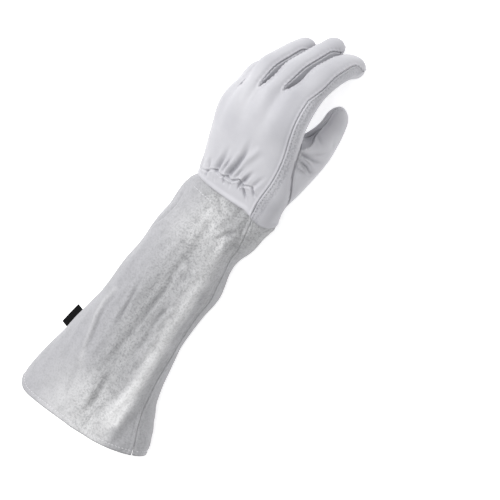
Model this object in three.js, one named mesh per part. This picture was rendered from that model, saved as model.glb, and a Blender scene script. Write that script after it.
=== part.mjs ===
import * as THREE from 'three';

// A long leather gauntlet glove for the left hand, lying palm down. Millimetres and degrees.
// +X is the thumb side, +Y runs from the cuff's opening to the fingertips, +Z is up.
const leatherWall = 1.6;
const suedeWall = 1.8;
const seamGap = 0.35;
const originShift = { x: 10.5, y: -189.2 };

// The palm's sections from the wrist seam towards the fingers: half width, centre, and the
// heights of the back and of the palm over the section's widest level
const palmSections = [
  { y: 0, half: 45.5, centre: 1.5, back: 22, palm: 24 },
  { y: 14, half: 43.5, centre: 2.5, back: 19, palm: 21 },
  { y: 40, half: 46, centre: 3.5, back: 18.5, palm: 20 },
  { y: 80, half: 48.5, centre: 1, back: 16.5, palm: 17 },
  { y: 118, half: 49.5, centre: 1.8, back: 13.5, palm: 13 },
];
const palmSquareness = 2.5;

// The side of the hand swells towards the thumb
const thumbHeel = { y: 22, half: 20, out: 7.5, below: 20 };
const palmEnd = 118;
const pose = { roll: 10.8, pitch: 17.1, yaw: 12.7, x: 2, y: 238, z: 37.9 };
const arch = { radius: 218, cup: 26, cupFrom: -14, cupTo: -38, grows: 70 };

// Fingers from the thumb side: centre line, half width and height, stations of the knuckle,
// the two joints and the tip, the bend at each joint, the slant of the centre line, and the
// lean of the plane that the finger curls in
const fingers = [
  {
    x: 34.3, half: 13.9, high: 12, knuckle: 92, middle: 137.5, end: 168, tip: 192.2,
    bend: [41.2, 30.4, 20.8], splay: 4.6, curl: 4.2,
  },
  {
    x: 7.4, half: 11, high: 11.2, knuckle: 95, middle: 133.2, end: 171, tip: 198,
    bend: [40.8, 27, 0], splay: 4.6, curl: 2.1,
  },
  {
    x: -14.3, half: 10.9, high: 11, knuckle: 90, middle: 123.6, end: 165, tip: 186,
    bend: [28.9, 39.4, 10.2], splay: -0.3, curl: -3.5,
  },
  {
    x: -36, half: 9.9, high: 10.2, knuckle: 82, middle: 116.9, end: 137.8, tip: 157,
    bend: [35.4, 61, 46], splay: -1.4, curl: -12.7,
  },
];
const bendLengths = { knuckle: 34, middle: 26, end: 22 };
const fingerSquareness = 2.2;
const fingerForm = { taper: 0.1, joint: 0.03, jointHalf: 9, waist: 0.05, waistHalf: 12, waistShift: 4 };
const tipLength = 12;
const capSquareness = 2.2;
const splayOrigin = 100;

// Borders between the fingers: place across the palm, station of the crotch, and how far each
// side moves back just past it
const borders = [
  { x: 48 },
  { x: 17.6, crotch: 110.4, opening: 1.3 },
  { x: -4, crotch: 105.1, opening: 1.3 },
  { x: -25.6, crotch: 96.3, opening: 2.4 },
  { x: -48 },
];
const borderPalmHalf = 48;
const partingLength = 22;
const openingLength = 5;
const crotchNotch = 1.15;
const knuckleValley = { depth: 4, width: 6, length: 42 };

// The wrist seam slants a little over the tilted hand, and drops at the thumb side
const wristSeam = { middle: 7.8, slant: 0.1, fades: 48, drop: 9, dropFrom: 24, dropTo: 47 };

// Seams, as angles above the side line
const seams = { thumbSide: 35, atWrist: 49, blend: 70, fourchetteLow: -35, littleSide: 8 };
const seamTrims = { panel: 0.8, fourchette: 0.6, fourchetteMost: 0.4, thumb: 0.6, cuff: 0.5 };
const seamClose = { from: 26, to: 10 };

// Gathers across the back of the wrist: the elastic's distance from the wrist seam, and each
// crease's place on it, depth, half width, reach towards the fingers, and slant
const elastic = { y: 17.5, depth: 0.9, half: 5 };
const gathers = [
  { x: 30, depth: 1.4, half: 2.6, reach: 14, slant: 0.5 },
  { x: 16, depth: 2.3, half: 3.0, reach: 26, slant: 0.5 },
  { x: 8, depth: 1.2, half: 2.4, reach: 12, slant: 0.3 },
  { x: 0, depth: 2.8, half: 3.0, reach: 50, slant: 0.3 },
  { x: -13, depth: 2.2, half: 3.0, reach: 36, slant: 0.28 },
  { x: -23, depth: 1.4, half: 2.6, reach: 20, slant: 0.15 },
  { x: -33, depth: 1.2, half: 2.4, reach: 14, slant: 0.1 },
];
const gatherRoot = 13;

// The thumb's oval seam on the palm, and sections along the thumb in the glove's frame
const thumbOval = { angle: -48, y: 48, halfAngle: 48, halfLength: 41.5, clearance: 0.975, reach: 110 };
const thumbSections = [
  { s: 0, x: 33.5, y: 291, z: 43, half: 31, high: 23, roll: 45 },
  { s: 0.3, x: 35.4, y: 314, z: 28, half: 20, high: 17.3, roll: 42 },
  { s: 0.65, x: 35, y: 337, z: 15.2, half: 13.2, high: 12.2, roll: 38 },
  { s: 1, x: 31, y: 361.2, z: 10.8, half: 8.9, high: 9.8, roll: 38 },
];
const thumbLength = 78;
const thumbSeam = 72;
const thumbCapStart = 0.81;
const thumbBlend = 0.38;

// The suede cuff's sections from the wrist seam to the opening: centre, half width, top, and
// the angle of its seam on the thumb side
const cuffSections = [
  { u: 0, centre: 0, half: 44, top: 60, seam: 48 },
  { u: 20, centre: -5, half: 43, top: 60, seam: 37 },
  { u: 45, centre: -10, half: 42, top: 60, seam: 20 },
  { u: 62, centre: -11.5, half: 42.5, top: 60, seam: 9.5 },
  { u: 84, centre: -9.9, half: 45.1, top: 59, seam: 14 },
  { u: 110, centre: -12.8, half: 46.2, top: 57, seam: 11 },
  { u: 145, centre: -15.1, half: 46.3, top: 54, seam: 6 },
  { u: 160, centre: -15.9, half: 49.3, top: 53, seam: 6 },
  { u: 180, centre: -16.1, half: 52.8, top: 51, seam: 13.5 },
  { u: 204, centre: -15.5, half: 58.2, top: 50, seam: 18.5 },
  { u: 238, centre: -11, half: 70, top: 48, seam: 29 },
  { u: 268, centre: -9.2, half: 74.8, top: 46, seam: 25 },
];
const cuffShape = { level: 17, across: 2.6, above: 2.3, below: 3.2, blend: 55, drop: 1.5 };
const cuffPuff = { u: 22, half: 18, start: 10, littleSide: 10.5, thumbSide: -6 };
const cuffOpening = { middle: 261, slant: 0.145, bulge: 4, half: 72, corner: 7, cornerWidth: 0.16 };
const cuffColumns = { seam: 30, follow: 60 };
const cuffSlit = { from: 244, to: 262, angle: 1.3, width: 0.1 };

// Lengthwise folds on the cuff's upper side: where each runs across at stations along the
// cuff, and its height, half width and reach
const foldLines = [
  { u: 20, ridge: 26, groove: 6, edgeRidge: -45 },
  { u: 65, ridge: 27, groove: 4, edgeRidge: -45 },
  { u: 107, ridge: 26, groove: -2, edgeRidge: -45 },
  { u: 145, ridge: 28, groove: -5, edgeRidge: -44 },
  { u: 190, ridge: 29, groove: -2, edgeRidge: -40 },
  { u: 262, ridge: 31, groove: 8, edgeRidge: -32 },
];
const folds = [
  { line: 'ridge', height: 3.2, half: 9, from: 35, to: 240 },
  { line: 'groove', height: -3, half: 9, from: 5, to: 262 },
  { line: 'edgeRidge', height: 2, half: 6, from: 85, to: 215 },
];
const foldFade = 25;

const label = { u: 187, long: 23.5, wide: 7.5, thick: 1, angle: 172 };

const materials = {
  grain: new THREE.MeshStandardMaterial({ color: 0xcfcfd4, roughness: 0.55, metalness: 0 }),
  suede: new THREE.MeshStandardMaterial({ color: 0xbdbdbb, roughness: 0.95, metalness: 0 }),
  woven: new THREE.MeshStandardMaterial({ color: 0x151515, roughness: 0.8, metalness: 0 }),
};

const degree = Math.PI / 180;
const mix = THREE.MathUtils.lerp;
const clamp = THREE.MathUtils.clamp;

function ramp(from, to, value) {
  const share = clamp((value - from) / (to - from), 0, 1);
  return share * share * (3 - 2 * share);
}

function bell(distance, half) {
  return Math.exp(-((distance / half) ** 2));
}

function signedPower(value, exponent) {
  return Math.sign(value) * Math.abs(value) ** exponent;
}

// A smooth curve through one column of a table, at a station of its first column
function along(table, column, station) {
  const key = Object.keys(table[0])[0];
  const last = table.length - 1;
  const value = clamp(station, table[0][key], table[last][key]);
  let i = 0;
  while (i < last - 1 && table[i + 1][key] <= value) i += 1;
  const slope = (a, b) => (table[b][column] - table[a][column]) / (table[b][key] - table[a][key]);
  const step = table[i + 1][key] - table[i][key];
  const t = (value - table[i][key]) / step;
  const start = slope(Math.max(i - 1, 0), i + 1) * step;
  const end = slope(i, Math.min(i + 2, last)) * step;
  return (2 * t ** 3 - 3 * t ** 2 + 1) * table[i][column] + (t ** 3 - 2 * t ** 2 + t) * start
    + (3 * t ** 2 - 2 * t ** 3) * table[i + 1][column] + (t ** 3 - t ** 2) * end;
}

function wristStation(x) {
  const { middle, slant, drop, dropFrom, dropTo } = wristSeam;
  return middle - slant * x - drop * ramp(dropFrom, dropTo, x);
}

// How far the gathered leather stands in or out, at a place across and a distance from the seam
function gatherDepth(x, y) {
  const band = -elastic.depth * bell(y - elastic.y, elastic.half);
  const creases = gathers.map((crease) => {
    const line = crease.x + crease.slant * (y - elastic.y);
    const length = y < elastic.y
      ? bell(y - elastic.y, gatherRoot)
      : 1 - ramp(elastic.y, elastic.y + crease.reach, y);
    return -crease.depth * length * bell(x - line, crease.half);
  });
  return creases.reduce((sum, depth) => sum + depth, band);
}

// A point of the palm's section: angle round it, station, and distance inside the leather
function palmSurface(angle, y, inset) {
  const half = along(palmSections, 'half', y) - inset;
  const side = Math.sin(angle) > 0 ? 'back' : 'palm';
  const high = along(palmSections, side, y) - inset;
  const sine = Math.sin(angle);
  const facing = Math.max(0, Math.cos(angle + thumbHeel.below * degree));
  const x = along(palmSections, 'centre', y) + half * signedPower(Math.cos(angle), 2 / palmSquareness)
    + thumbHeel.out * bell(y - thumbHeel.y, thumbHeel.half) * facing ** 3;
  let z = high * signedPower(sine, 2 / palmSquareness);
  const flat = clamp(Math.abs(sine) * 2, 0, 1);
  for (const { x: place, crotch } of borders.slice(1, 4)) {
    const border = place * along(palmSections, 'half', y) / borderPalmHalf;
    const depth = knuckleValley.depth * ramp(crotch - knuckleValley.length, crotch, y);
    z -= Math.sign(sine) * depth * bell(x - border, knuckleValley.width) * flat;
  }
  if (sine > 0) z += gatherDepth(x, y - wristStation(x)) * flat;
  return { x, z };
}

// The station of a row at an angle: rows near the wrist lean with the slanted seam
function rowStation(angle, row) {
  const half = palmSections[0].half * signedPower(Math.cos(angle), 2 / palmSquareness);
  const lean = 1 - clamp(row / wristSeam.fades, 0, 1);
  return row + lean * wristStation(palmSections[0].centre + half);
}

function borderAngle(index, y) {
  if (index === 0) {
    return degree * mix(seams.atWrist, seams.thumbSide, ramp(0, seams.blend, y));
  }
  if (index === 4) return Math.PI - seams.littleSide * degree;
  const half = along(palmSections, 'half', y);
  const share = (borders[index].x * half / borderPalmHalf - along(palmSections, 'centre', y)) / half;
  return Math.acos(clamp(signedPower(share, palmSquareness / 2), -1, 1));
}

// How far a finger has parted from its neighbour past their crotch, from 0 to 1
function parting(crotch, y) {
  return Math.sin(clamp((y - crotch) / partingLength, 0, 1) * Math.PI / 2);
}

function tipShare(finger, y) {
  return clamp((y - finger.tip + tipLength) / tipLength, 0, 1);
}

function fingerScale(finger, y) {
  const { taper, joint, jointHalf, waist, waistHalf, waistShift } = fingerForm;
  const cap = Math.sqrt(1 - tipShare(finger, y) ** capSquareness);
  const waistAt = (finger.knuckle + finger.middle) / 2 + waistShift;
  const body = 1 - taper * ramp(finger.knuckle, finger.tip, y)
    + joint * bell(y - finger.middle, jointHalf) - waist * bell(y - waistAt, waistHalf);
  return cap * body;
}

function fingerCentre(finger, y) {
  return finger.x + Math.tan(finger.splay * degree) * (y - splayOrigin);
}

// Interpolates a value of the fingers across the palm
function acrossFingers(x, value) {
  const places = fingers.map((finger) => finger.x);
  if (x >= places[0]) return value(fingers[0]);
  for (let i = 1; i < fingers.length; i += 1) {
    if (x >= places[i]) {
      const share = (places[i - 1] - x) / (places[i - 1] - places[i]);
      return mix(value(fingers[i - 1]), value(fingers[i]), share);
    }
  }
  return value(fingers[3]);
}

// Bends a point of the flat hand at the knuckles, arches it across, and tilts it on the wrist.
// The place across the arch is spread, which is the same for a whole section of a finger, and
// parted tells how far the finger has left its neighbours.
function placeOnHand(index, x, y, z, spread, parted = 0) {
  const finger = fingers[index];
  const knuckle = acrossFingers(spread, (row) => row.knuckle);
  const firstBend = acrossFingers(spread, (row) => row.bend[0]);
  const bendAt = (v) => degree * (
    firstBend * ramp(-0.5, 0.5, (v - knuckle) / bendLengths.knuckle)
    + finger.bend[1] * ramp(-0.5, 0.5, (v - finger.middle) / bendLengths.middle)
    + finger.bend[2] * ramp(-0.5, 0.5, (v - finger.end) / bendLengths.end));
  const bendSteps = 32;
  let forward = 0;
  let down = 0;
  for (let step = 0; step < bendSteps; step += 1) {
    const angle = bendAt(y * (step + 0.5) / bendSteps);
    forward += Math.cos(angle) * y / bendSteps;
    down += Math.sin(angle) * y / bendSteps;
  }
  const bend = bendAt(y);
  const bentY = forward + z * Math.sin(bend);
  const bentZ = z * Math.cos(bend);

  const grown = ramp(0, arch.grows, y);
  const leanAt = (v) => grown
    * (v / arch.radius - arch.cup * degree * ramp(arch.cupFrom, arch.cupTo, v));
  const archSteps = 12;
  let sideways = 0;
  let drop = 0;
  for (let step = 0; step < archSteps; step += 1) {
    const lean = leanAt(spread * (step + 0.5) / archSteps);
    sideways += Math.cos(lean) * spread / archSteps;
    drop += Math.sin(lean) * spread / archSteps;
  }
  const lean = leanAt(spread);
  const curl = mix(lean, finger.curl * degree, parted);
  const point = new THREE.Vector3(
    sideways + (x - spread) * Math.cos(lean) + bentZ * Math.sin(lean) - down * Math.sin(curl),
    bentY,
    bentZ * Math.cos(lean) - drop - (x - spread) * Math.sin(lean) - down * Math.cos(curl),
  );
  point.applyAxisAngle(new THREE.Vector3(0, 1, 0), -pose.roll * degree);
  point.applyAxisAngle(new THREE.Vector3(1, 0, 0), pose.pitch * degree);
  point.applyAxisAngle(new THREE.Vector3(0, 0, 1), pose.yaw * degree);
  return point.add(new THREE.Vector3(pose.x, pose.y, pose.z));
}

// A point of one finger's strip of the glove, from the wrist to the fingertip. The side is
// back, front, radial (towards the thumb) or ulnar, and across runs from 0 to 1 over it.
function stripPoint(index, side, across, row, inset) {
  const finger = fingers[index];
  const closing = ramp(finger.tip - seamClose.from, finger.tip - seamClose.to, row);
  const radialTop = mix(seams.thumbSide * degree, 0, closing);
  const ulnarTop = index === 3 ? mix(seams.littleSide * degree, 0, closing) : radialTop;
  const low = mix(seams.fourchetteLow * degree, 0, closing);
  const start = borderAngle(index, Math.min(row, palmEnd));
  const end = borderAngle(index + 1, Math.min(row, palmEnd));
  const lowSide = seams.fourchetteLow * degree;
  const seamTrim = seamTrims.panel * degree;
  const isWeb = (side === 'radial' && index > 0) || (side === 'ulnar' && index < 3);
  const frontStart = index > 0 ? -start : lowSide;
  const frontEnd = index < 3 ? -end : -Math.PI - lowSide;
  const angles = {
    back: [mix(start, end, across), mix(radialTop, Math.PI - ulnarTop, across)],
    front: [mix(frontStart, frontEnd, across), mix(low, -Math.PI - low, across)],
    radial: [
      index > 0 ? start : mix(start - seamTrim, lowSide, across),
      mix(radialTop, low, across),
    ],
    ulnar: [
      index < 3 ? end : mix(end + seamTrim, Math.PI - lowSide, across),
      mix(Math.PI - ulnarTop, Math.PI - low, across),
    ],
  };
  const [palmAngle, fingerAngle] = angles[side];
  const y = rowStation(palmAngle, row);
  const palmY = Math.min(y, palmEnd);
  const palm = palmSurface(palmAngle, palmY, inset);
  if (isWeb) {
    const under = palmSurface(-palmAngle, palmY, inset);
    palm.x = mix(palm.x, under.x, across);
    palm.z = mix(palm.z, under.z, across);
  }

  const radialCrotch = borders[index].crotch ?? borders[index + 1].crotch;
  const ulnarCrotch = borders[index + 1].crotch ?? borders[index].crotch;
  let place = across;
  if (side === 'radial') place = 0;
  if (side === 'ulnar') place = 1;
  const parted = mix(parting(radialCrotch, y), parting(ulnarCrotch, y), place);

  // On a border between fingers the wall turns sideways past the crotch, as a mitre
  let stationInset = inset * tipShare(finger, y);
  const opened = ({ crotch, opening }) => opening * ramp(0, openingLength, y - crotch);
  if (index > 0) palm.x -= opened(borders[index]) * (1 - place) ** 2;
  if (index < 3) palm.x += opened(borders[index + 1]) * place ** 2;
  if (place === 0 && index > 0) {
    if (y === radialCrotch) stationInset = inset;
    if (y > radialCrotch) palm.x -= inset;
  }
  if (place === 1 && index < 3) {
    if (y === ulnarCrotch) stationInset = inset;
    if (y > ulnarCrotch) palm.x += inset;
  }

  const scale = fingerScale(finger, y);
  const round = 2 / fingerSquareness;
  const fingerX = fingerCentre(finger, y)
    + (finger.half - inset) * scale * signedPower(Math.cos(fingerAngle), round);
  const heightAt = (angle) => (finger.high - inset) * scale * signedPower(Math.sin(angle), round);
  let fingerZ = heightAt(fingerAngle);
  if (side !== 'back') {
    const backEdge = mix(heightAt(radialTop), heightAt(ulnarTop), place);
    fingerZ = Math.min(fingerZ, backEdge - seamGap);
  }
  const x = mix(palm.x, fingerX, parted);
  const z = mix(palm.z, fingerZ, parted);
  const spread = mix(x, fingerCentre(finger, y), parted);
  return placeOnHand(index, x, y - stationInset, z, spread, parted);
}

// A point of the thumb: angle round it, share of the way from its oval seam to the tip
function thumbPoint(angle, share, inset, isFront) {
  const palmAngle = thumbOval.angle + thumbOval.clearance * thumbOval.halfAngle * Math.cos(angle);
  const palmY = thumbOval.y + thumbOval.clearance * thumbOval.halfLength * Math.sin(angle);
  const palm = palmSurface(palmAngle * degree, palmY, inset);
  const base = placeOnHand(0, palm.x, palmY, palm.z, palm.x);

  const at = share * (1 - inset / thumbLength);
  const centreAt = (v) => new THREE.Vector3(
    along(thumbSections, 'x', v),
    along(thumbSections, 'y', v),
    along(thumbSections, 'z', v),
  );
  const step = 0.02;
  const tangent = centreAt(Math.min(at + step, 1)).sub(centreAt(Math.max(at - step, 0))).normalize();
  const level = new THREE.Vector3().crossVectors(tangent, new THREE.Vector3(0, 0, 1)).normalize();
  const upward = new THREE.Vector3().crossVectors(level, tangent);
  const roll = along(thumbSections, 'roll', at) * degree;
  const sideAxis = level.clone().multiplyScalar(Math.cos(roll)).addScaledVector(upward, Math.sin(roll));
  const highAxis = upward.multiplyScalar(Math.cos(roll)).addScaledVector(level, -Math.sin(roll));
  const cap = Math.sqrt(1 - clamp((share - thumbCapStart) / (1 - thumbCapStart), 0, 1) ** capSquareness);
  const section = new THREE.Vector2(
    (along(thumbSections, 'half', at) - inset) * cap * Math.cos(angle),
    (along(thumbSections, 'high', at) - inset) * cap * Math.sin(angle),
  );
  if (isFront) {
    const away = new THREE.Vector2(1, 0).rotateAround(new THREE.Vector2(), (thumbSeam + 90) * degree);
    section.addScaledVector(away, Math.max(0, seamGap - section.dot(away)));
  }
  const point = centreAt(at).addScaledVector(sideAxis, section.x).addScaledVector(highAxis, section.y);
  return base.lerp(point, ramp(0, thumbBlend, share));
}

function foldHeight(x, u) {
  return folds.reduce((sum, fold) => {
    const line = along(foldLines, fold.line, u);
    const reach = ramp(fold.from - foldFade, fold.from + foldFade, u)
      * ramp(fold.to + foldFade, fold.to - foldFade, u);
    return sum + fold.height * reach * bell(x - line, fold.half);
  }, 0);
}

// A point of the cuff: angle round it, and distance from the wrist seam
function cuffPoint(angle, u, inset) {
  const start = rowStation(angle, 0);
  const ring = palmSurface(angle, start, inset);
  const wrist = placeOnHand(0, ring.x, start - u, ring.z, ring.x);
  const { level, across, above, below, drop } = cuffShape;
  const sine = Math.sin(angle);
  const half = along(cuffSections, 'half', u) - inset;
  const x = along(cuffSections, 'centre', u) + half * signedPower(Math.cos(angle), 2 / across);
  const high = along(cuffSections, 'top', u) - level - inset;
  let z = level + (level + drop - inset) * signedPower(sine, 2 / below);
  if (sine > 0) {
    z = level + high * signedPower(sine, 2 / above) + foldHeight(x, u) * clamp(sine * 2, 0, 1);
  }
  const point = wrist.lerp(new THREE.Vector3(x, pose.y - u, z), ramp(0, cuffShape.blend, u));
  const puff = Math.cos(angle) < 0 ? cuffPuff.littleSide : cuffPuff.thumbSide;
  point.x += puff * Math.cos(angle) * bell(u - cuffPuff.u, cuffPuff.half) * ramp(0, cuffPuff.start, u);
  point.z = Math.max(point.z, inset);
  return point;
}

// The opening's edge: slanted, a little bulged, with a rounded corner at the little finger side
function openingStation(angle) {
  const { middle, slant, bulge, half, corner, cornerWidth } = cuffOpening;
  const x = Math.cos(angle);
  return middle - slant * half * x + bulge * (1 - x * x)
    - corner * bell(1 + x, cornerWidth);
}

function steps(from, to, count) {
  return Array.from({ length: count + 1 }, (_, i) => mix(from, to, i / count));
}

// A grid of points on the outer face and the same grid on the inner face
function patch(rows, columns, wall, place) {
  const grid = (inset) => rows.map((row) => columns.map((column) => place(row, column, inset)));
  return { outer: grid(0), inner: grid(wall) };
}

// Joins patches along equal points into one sheet with an inner face and walls at its edges
function thickSheet(name, material, patches) {
  const indexOf = new Map();
  const outer = [];
  const inner = [];
  const vertex = (over, under) => {
    const key = over.toArray().map((value) => Math.round(value * 1e4)).join();
    if (!indexOf.has(key)) {
      indexOf.set(key, outer.length);
      outer.push(over);
      inner.push(under);
    }
    return indexOf.get(key);
  };

  const faces = [];
  for (const { outer: over, inner: under, isOpen } of patches) {
    const ids = over.map((row, i) => row.map((point, j) => vertex(point, under[i][j])));
    const found = [];
    let facing = 0;
    for (let i = 0; i < ids.length - 1; i += 1) {
      for (let j = 0; j < ids[i].length - 1; j += 1) {
        if (isOpen?.(i, j)) continue;
        const ring = [ids[i][j], ids[i + 1][j], ids[i + 1][j + 1], ids[i][j + 1]];
        for (const face of [[ring[0], ring[1], ring[2]], [ring[0], ring[2], ring[3]]]) {
          if (new Set(face).size < 3) continue;
          const [a, b, c] = face.map((id) => outer[id]);
          const normal = b.clone().sub(a).cross(c.clone().sub(a));
          facing += normal.dot(a.clone().sub(inner[face[0]]));
          found.push(face);
        }
      }
    }
    faces.push(...(facing > 0 ? found : found.map(([a, b, c]) => [a, c, b])));
  }

  const edges = new Set(faces.flatMap(([a, b, c]) => [`${a},${b}`, `${b},${c}`, `${c},${a}`]));
  const count = outer.length;
  const index = faces.flatMap(([a, b, c]) => [a, b, c, c + count, b + count, a + count]);
  for (const edge of edges) {
    const [a, b] = edge.split(',').map(Number);
    if (edges.has(`${b},${a}`)) continue;
    // Walls that face each other across a seam are split along the same diagonal
    if (outer[a].y < outer[b].y) index.push(b, a, a + count, b, a + count, b + count);
    else index.push(b, a, b + count, a, a + count, b + count);
  }
  const geometry = new THREE.BufferGeometry().setFromPoints([...outer, ...inner]);
  geometry.setIndex(index);
  geometry.computeVertexNormals();
  const mesh = new THREE.Mesh(geometry, material);
  mesh.name = name;
  return mesh;
}

// Stations of the rows. Neighbours share them up to their crotch, and past it all the pieces
// of one finger use the same ones.
const palmStations = [0, 4, 8, 12, 16, 21, 27, 34, 42, 51, 60, 69, 79, 89];
const stationsBetween = [99, 102, 107.8];
const crotchStations = [...borders.slice(1, 4).map(({ crotch }) => crotch), ...stationsBetween]
  .sort((a, b) => a - b);
const crotchSteps = [3, 7];
const rowLength = 9;
const tipSteps = [13, 10, 7, 4.2, 2, 0.7, 0];

function crotchesOf(index) {
  const found = [borders[index].crotch, borders[index + 1].crotch].filter((crotch) => crotch);
  return { first: Math.min(...found), last: Math.max(...found) };
}

function fingerRows(index) {
  const { last } = crotchesOf(index);
  const { tip } = fingers[index];
  const start = last + crotchSteps.at(-1);
  const end = tip - tipSteps[0];
  return [
    ...palmStations,
    ...crotchStations.filter((station) => station <= last),
    ...crotchSteps.slice(0, -1).map((step) => last + step),
    ...steps(start, end, Math.round((end - start) / rowLength)),
    ...tipSteps.slice(1).map((step) => tip - step),
  ];
}

function stripPatch(index, side, rows, columns) {
  return patch(rows, columns, leatherWall, (y, across, inset) => (
    stripPoint(index, side, across, typeof y === 'function' ? y(across) : y, inset)));
}

function backPanel() {
  const patches = fingers.map((_, index) => (
    stripPatch(index, 'back', fingerRows(index), steps(0, 1, 7))));
  return thickSheet('back_panel', materials.grain, patches);
}

// The fronts of the middle and ring fingers end in a seam that runs from crotch to crotch
function baseSeam(index, across) {
  return mix(borders[index].crotch, borders[index + 1].crotch, across);
}

function rowsBelowSeam(index) {
  const { first, last } = crotchesOf(index);
  return fingerRows(index).filter((row) => row <= last).map((row) => (
    row > first ? (across) => Math.min(row, baseSeam(index, across)) : row));
}

function rowsAboveSeam(index) {
  const { first, last } = crotchesOf(index);
  const edge = (across) => baseSeam(index, across) + seamGap + crotchNotch * (2 * across - 1) ** 4;
  const rows = fingerRows(index).filter((row) => row > first);
  return [edge, ...rows.map((row) => (row <= last ? (across) => Math.max(row, edge(across)) : row))];
}

// Where each point of a strip of the palm lies in the thumb's oval, whose edge has length 1,
// and whether a cell between the points is inside it
function openForThumb(index, side, rows, columns) {
  const angleAt = (across, row) => {
    const start = borderAngle(index, row);
    const end = borderAngle(index + 1, row);
    const low = seams.fourchetteLow * degree;
    if (side === 'radial') return mix(start, low, across);
    return mix(index > 0 ? -start : low, -end, across);
  };
  const offset = (i, j) => {
    const row = rows[i];
    if (typeof row !== 'number' || row > thumbOval.reach) return null;
    const angle = angleAt(columns[j], row);
    return new THREE.Vector2(
      (angle / degree - thumbOval.angle) / thumbOval.halfAngle,
      (rowStation(angle, row) - thumbOval.y) / thumbOval.halfLength,
    );
  };
  const isOpen = (i, j) => {
    const corners = [offset(i, j), offset(i + 1, j), offset(i + 1, j + 1), offset(i, j + 1)];
    if (corners.some((corner) => corner === null)) return false;
    const middle = corners.reduce((sum, corner) => sum.add(corner), new THREE.Vector2());
    return middle.length() / 4 < 1;
  };
  return { offset, isOpen };
}

// A strip of the palm whose points next to the opened cells are moved onto the thumb's oval
function palmPatch({ index, side, rows, columns, open }, isEdgeOpen) {
  const sheet = stripPatch(index, side, rows, columns);
  const { offset, isOpen } = open;
  for (let i = 0; i < rows.length; i += 1) {
    for (let j = 0; j < columns.length; j += 1) {
      const place = offset(i, j);
      if (!place || !isEdgeOpen(index, side, i, j)) continue;
      place.normalize();
      const angle = degree * (thumbOval.angle + thumbOval.halfAngle * place.x);
      const y = thumbOval.y + thumbOval.halfLength * place.y;
      for (const [grid, inset] of [[sheet.outer, 0], [sheet.inner, leatherWall]]) {
        const { x, z } = palmSurface(angle, y, inset);
        grid[i][j] = placeOnHand(0, x, y, z, x);
      }
    }
  }
  return { ...sheet, isOpen };
}

function palmPanel() {
  const layout = [
    { index: 0, side: 'radial', columns: steps(0, 1, 4) },
    { index: 0, side: 'front', columns: steps(0, 1, 5) },
    { index: 1, side: 'front', columns: steps(0, 1, 5) },
    { index: 2, side: 'front', columns: steps(0, 1, 5) },
    { index: 3, side: 'front', columns: steps(0, 1, 5) },
    { index: 3, side: 'ulnar', columns: steps(1, 0, 2) },
  ];
  for (const strip of layout) {
    const inner = strip.index === 1 || strip.index === 2;
    strip.rows = inner ? rowsBelowSeam(strip.index) : fingerRows(strip.index);
    strip.open = openForThumb(strip.index, strip.side, strip.rows, strip.columns);
  }
  // A point is on the oval's edge when a cell next to it, here or over the border, is open
  const isEdgeOpen = (index, side, i, j) => {
    const at = layout.findIndex((strip) => strip.index === index && strip.side === side);
    const columns = layout[at].columns.length - 1;
    const cells = [[at, i, j], [at, i - 1, j], [at, i, j - 1], [at, i - 1, j - 1]];
    if (j === 0) cells.push([at - 1, i, 'last'], [at - 1, i - 1, 'last']);
    if (j === columns) cells.push([at + 1, i, 0], [at + 1, i - 1, 0]);
    return cells.some(([strip, row, column]) => {
      const found = layout[strip];
      if (!found || found.side === 'ulnar' || row < 0 || row >= found.rows.length - 1) return false;
      const cell = column === 'last' ? found.columns.length - 2 : column;
      if (cell < 0 || cell >= found.columns.length - 1) return false;
      return found.open.isOpen(row, cell);
    });
  };
  const patches = layout.map((strip) => (
    strip.side === 'ulnar'
      ? stripPatch(strip.index, strip.side, strip.rows, strip.columns)
      : palmPatch(strip, isEdgeOpen)));
  return thickSheet('palm_panel', materials.grain, patches);
}

function fingerFront(name, index) {
  return thickSheet(name, materials.grain, [
    stripPatch(index, 'front', rowsAboveSeam(index), steps(0, 1, 5)),
  ]);
}

// The strip between two fingers: down one finger's side, round the crotch, up the other's
function fourchette(name, index) {
  const crotch = borders[index + 1].crotch;
  const { high } = fingers[index];
  const sides = [
    { finger: index, side: 'ulnar' },
    { finger: index + 1, side: 'radial' },
  ];
  const patches = sides.map(({ finger, side }) => {
    const { tip } = fingers[finger];
    const rows = fingerRows(finger).filter((row) => row >= crotch && row <= tip - tipSteps[0]);
    return patch(rows, steps(0, 1, 3), leatherWall, (y, across, inset) => {
      const closing = ramp(tip - seamClose.from, tip - seamClose.to, y);
      const width = high * (seams.thumbSide - seams.fourchetteLow) * degree * (1 - closing);
      const trim = Math.min(seamTrims.fourchette / width, seamTrims.fourchetteMost);
      return stripPoint(finger, side, mix(trim, 1 - trim, across), y, inset);
    });
  });
  return thickSheet(name, materials.grain, patches);
}

function thumbHalf(name, from, to, isFront) {
  const shares = [0, 0.06, 0.13, 0.21, 0.3, 0.4, 0.5, 0.6, 0.7, 0.78, 0.85, 0.91, 0.955, 0.985, 1];
  const trim = isFront ? seamTrims.thumb : 0;
  const angles = steps(from + trim, to - trim, 10);
  return thickSheet(name, materials.grain, [
    patch(shares, angles, leatherWall, (share, angle, inset) => (
      thumbPoint(angle * degree, share, inset, isFront))),
  ]);
}

function cuffPanel(name, columns, anglesAt) {
  const shares = steps(0, 1, 18);
  return thickSheet(name, materials.suede, [
    patch(shares, steps(0, 1, columns), suedeWall, (share, across, inset) => {
      const angle = anglesAt(across, mix(seamGap, cuffOpening.middle, share)) * degree;
      return cuffPoint(angle, mix(seamGap, openingStation(angle), share), inset);
    }),
  ]);
}

// The seam wanders, so only the columns next to it follow it
function seamShift(u, fromSeam) {
  const shift = along(cuffSections, 'seam', u) - cuffColumns.seam;
  return shift * ramp(cuffColumns.follow, 0, fromSeam);
}

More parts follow.
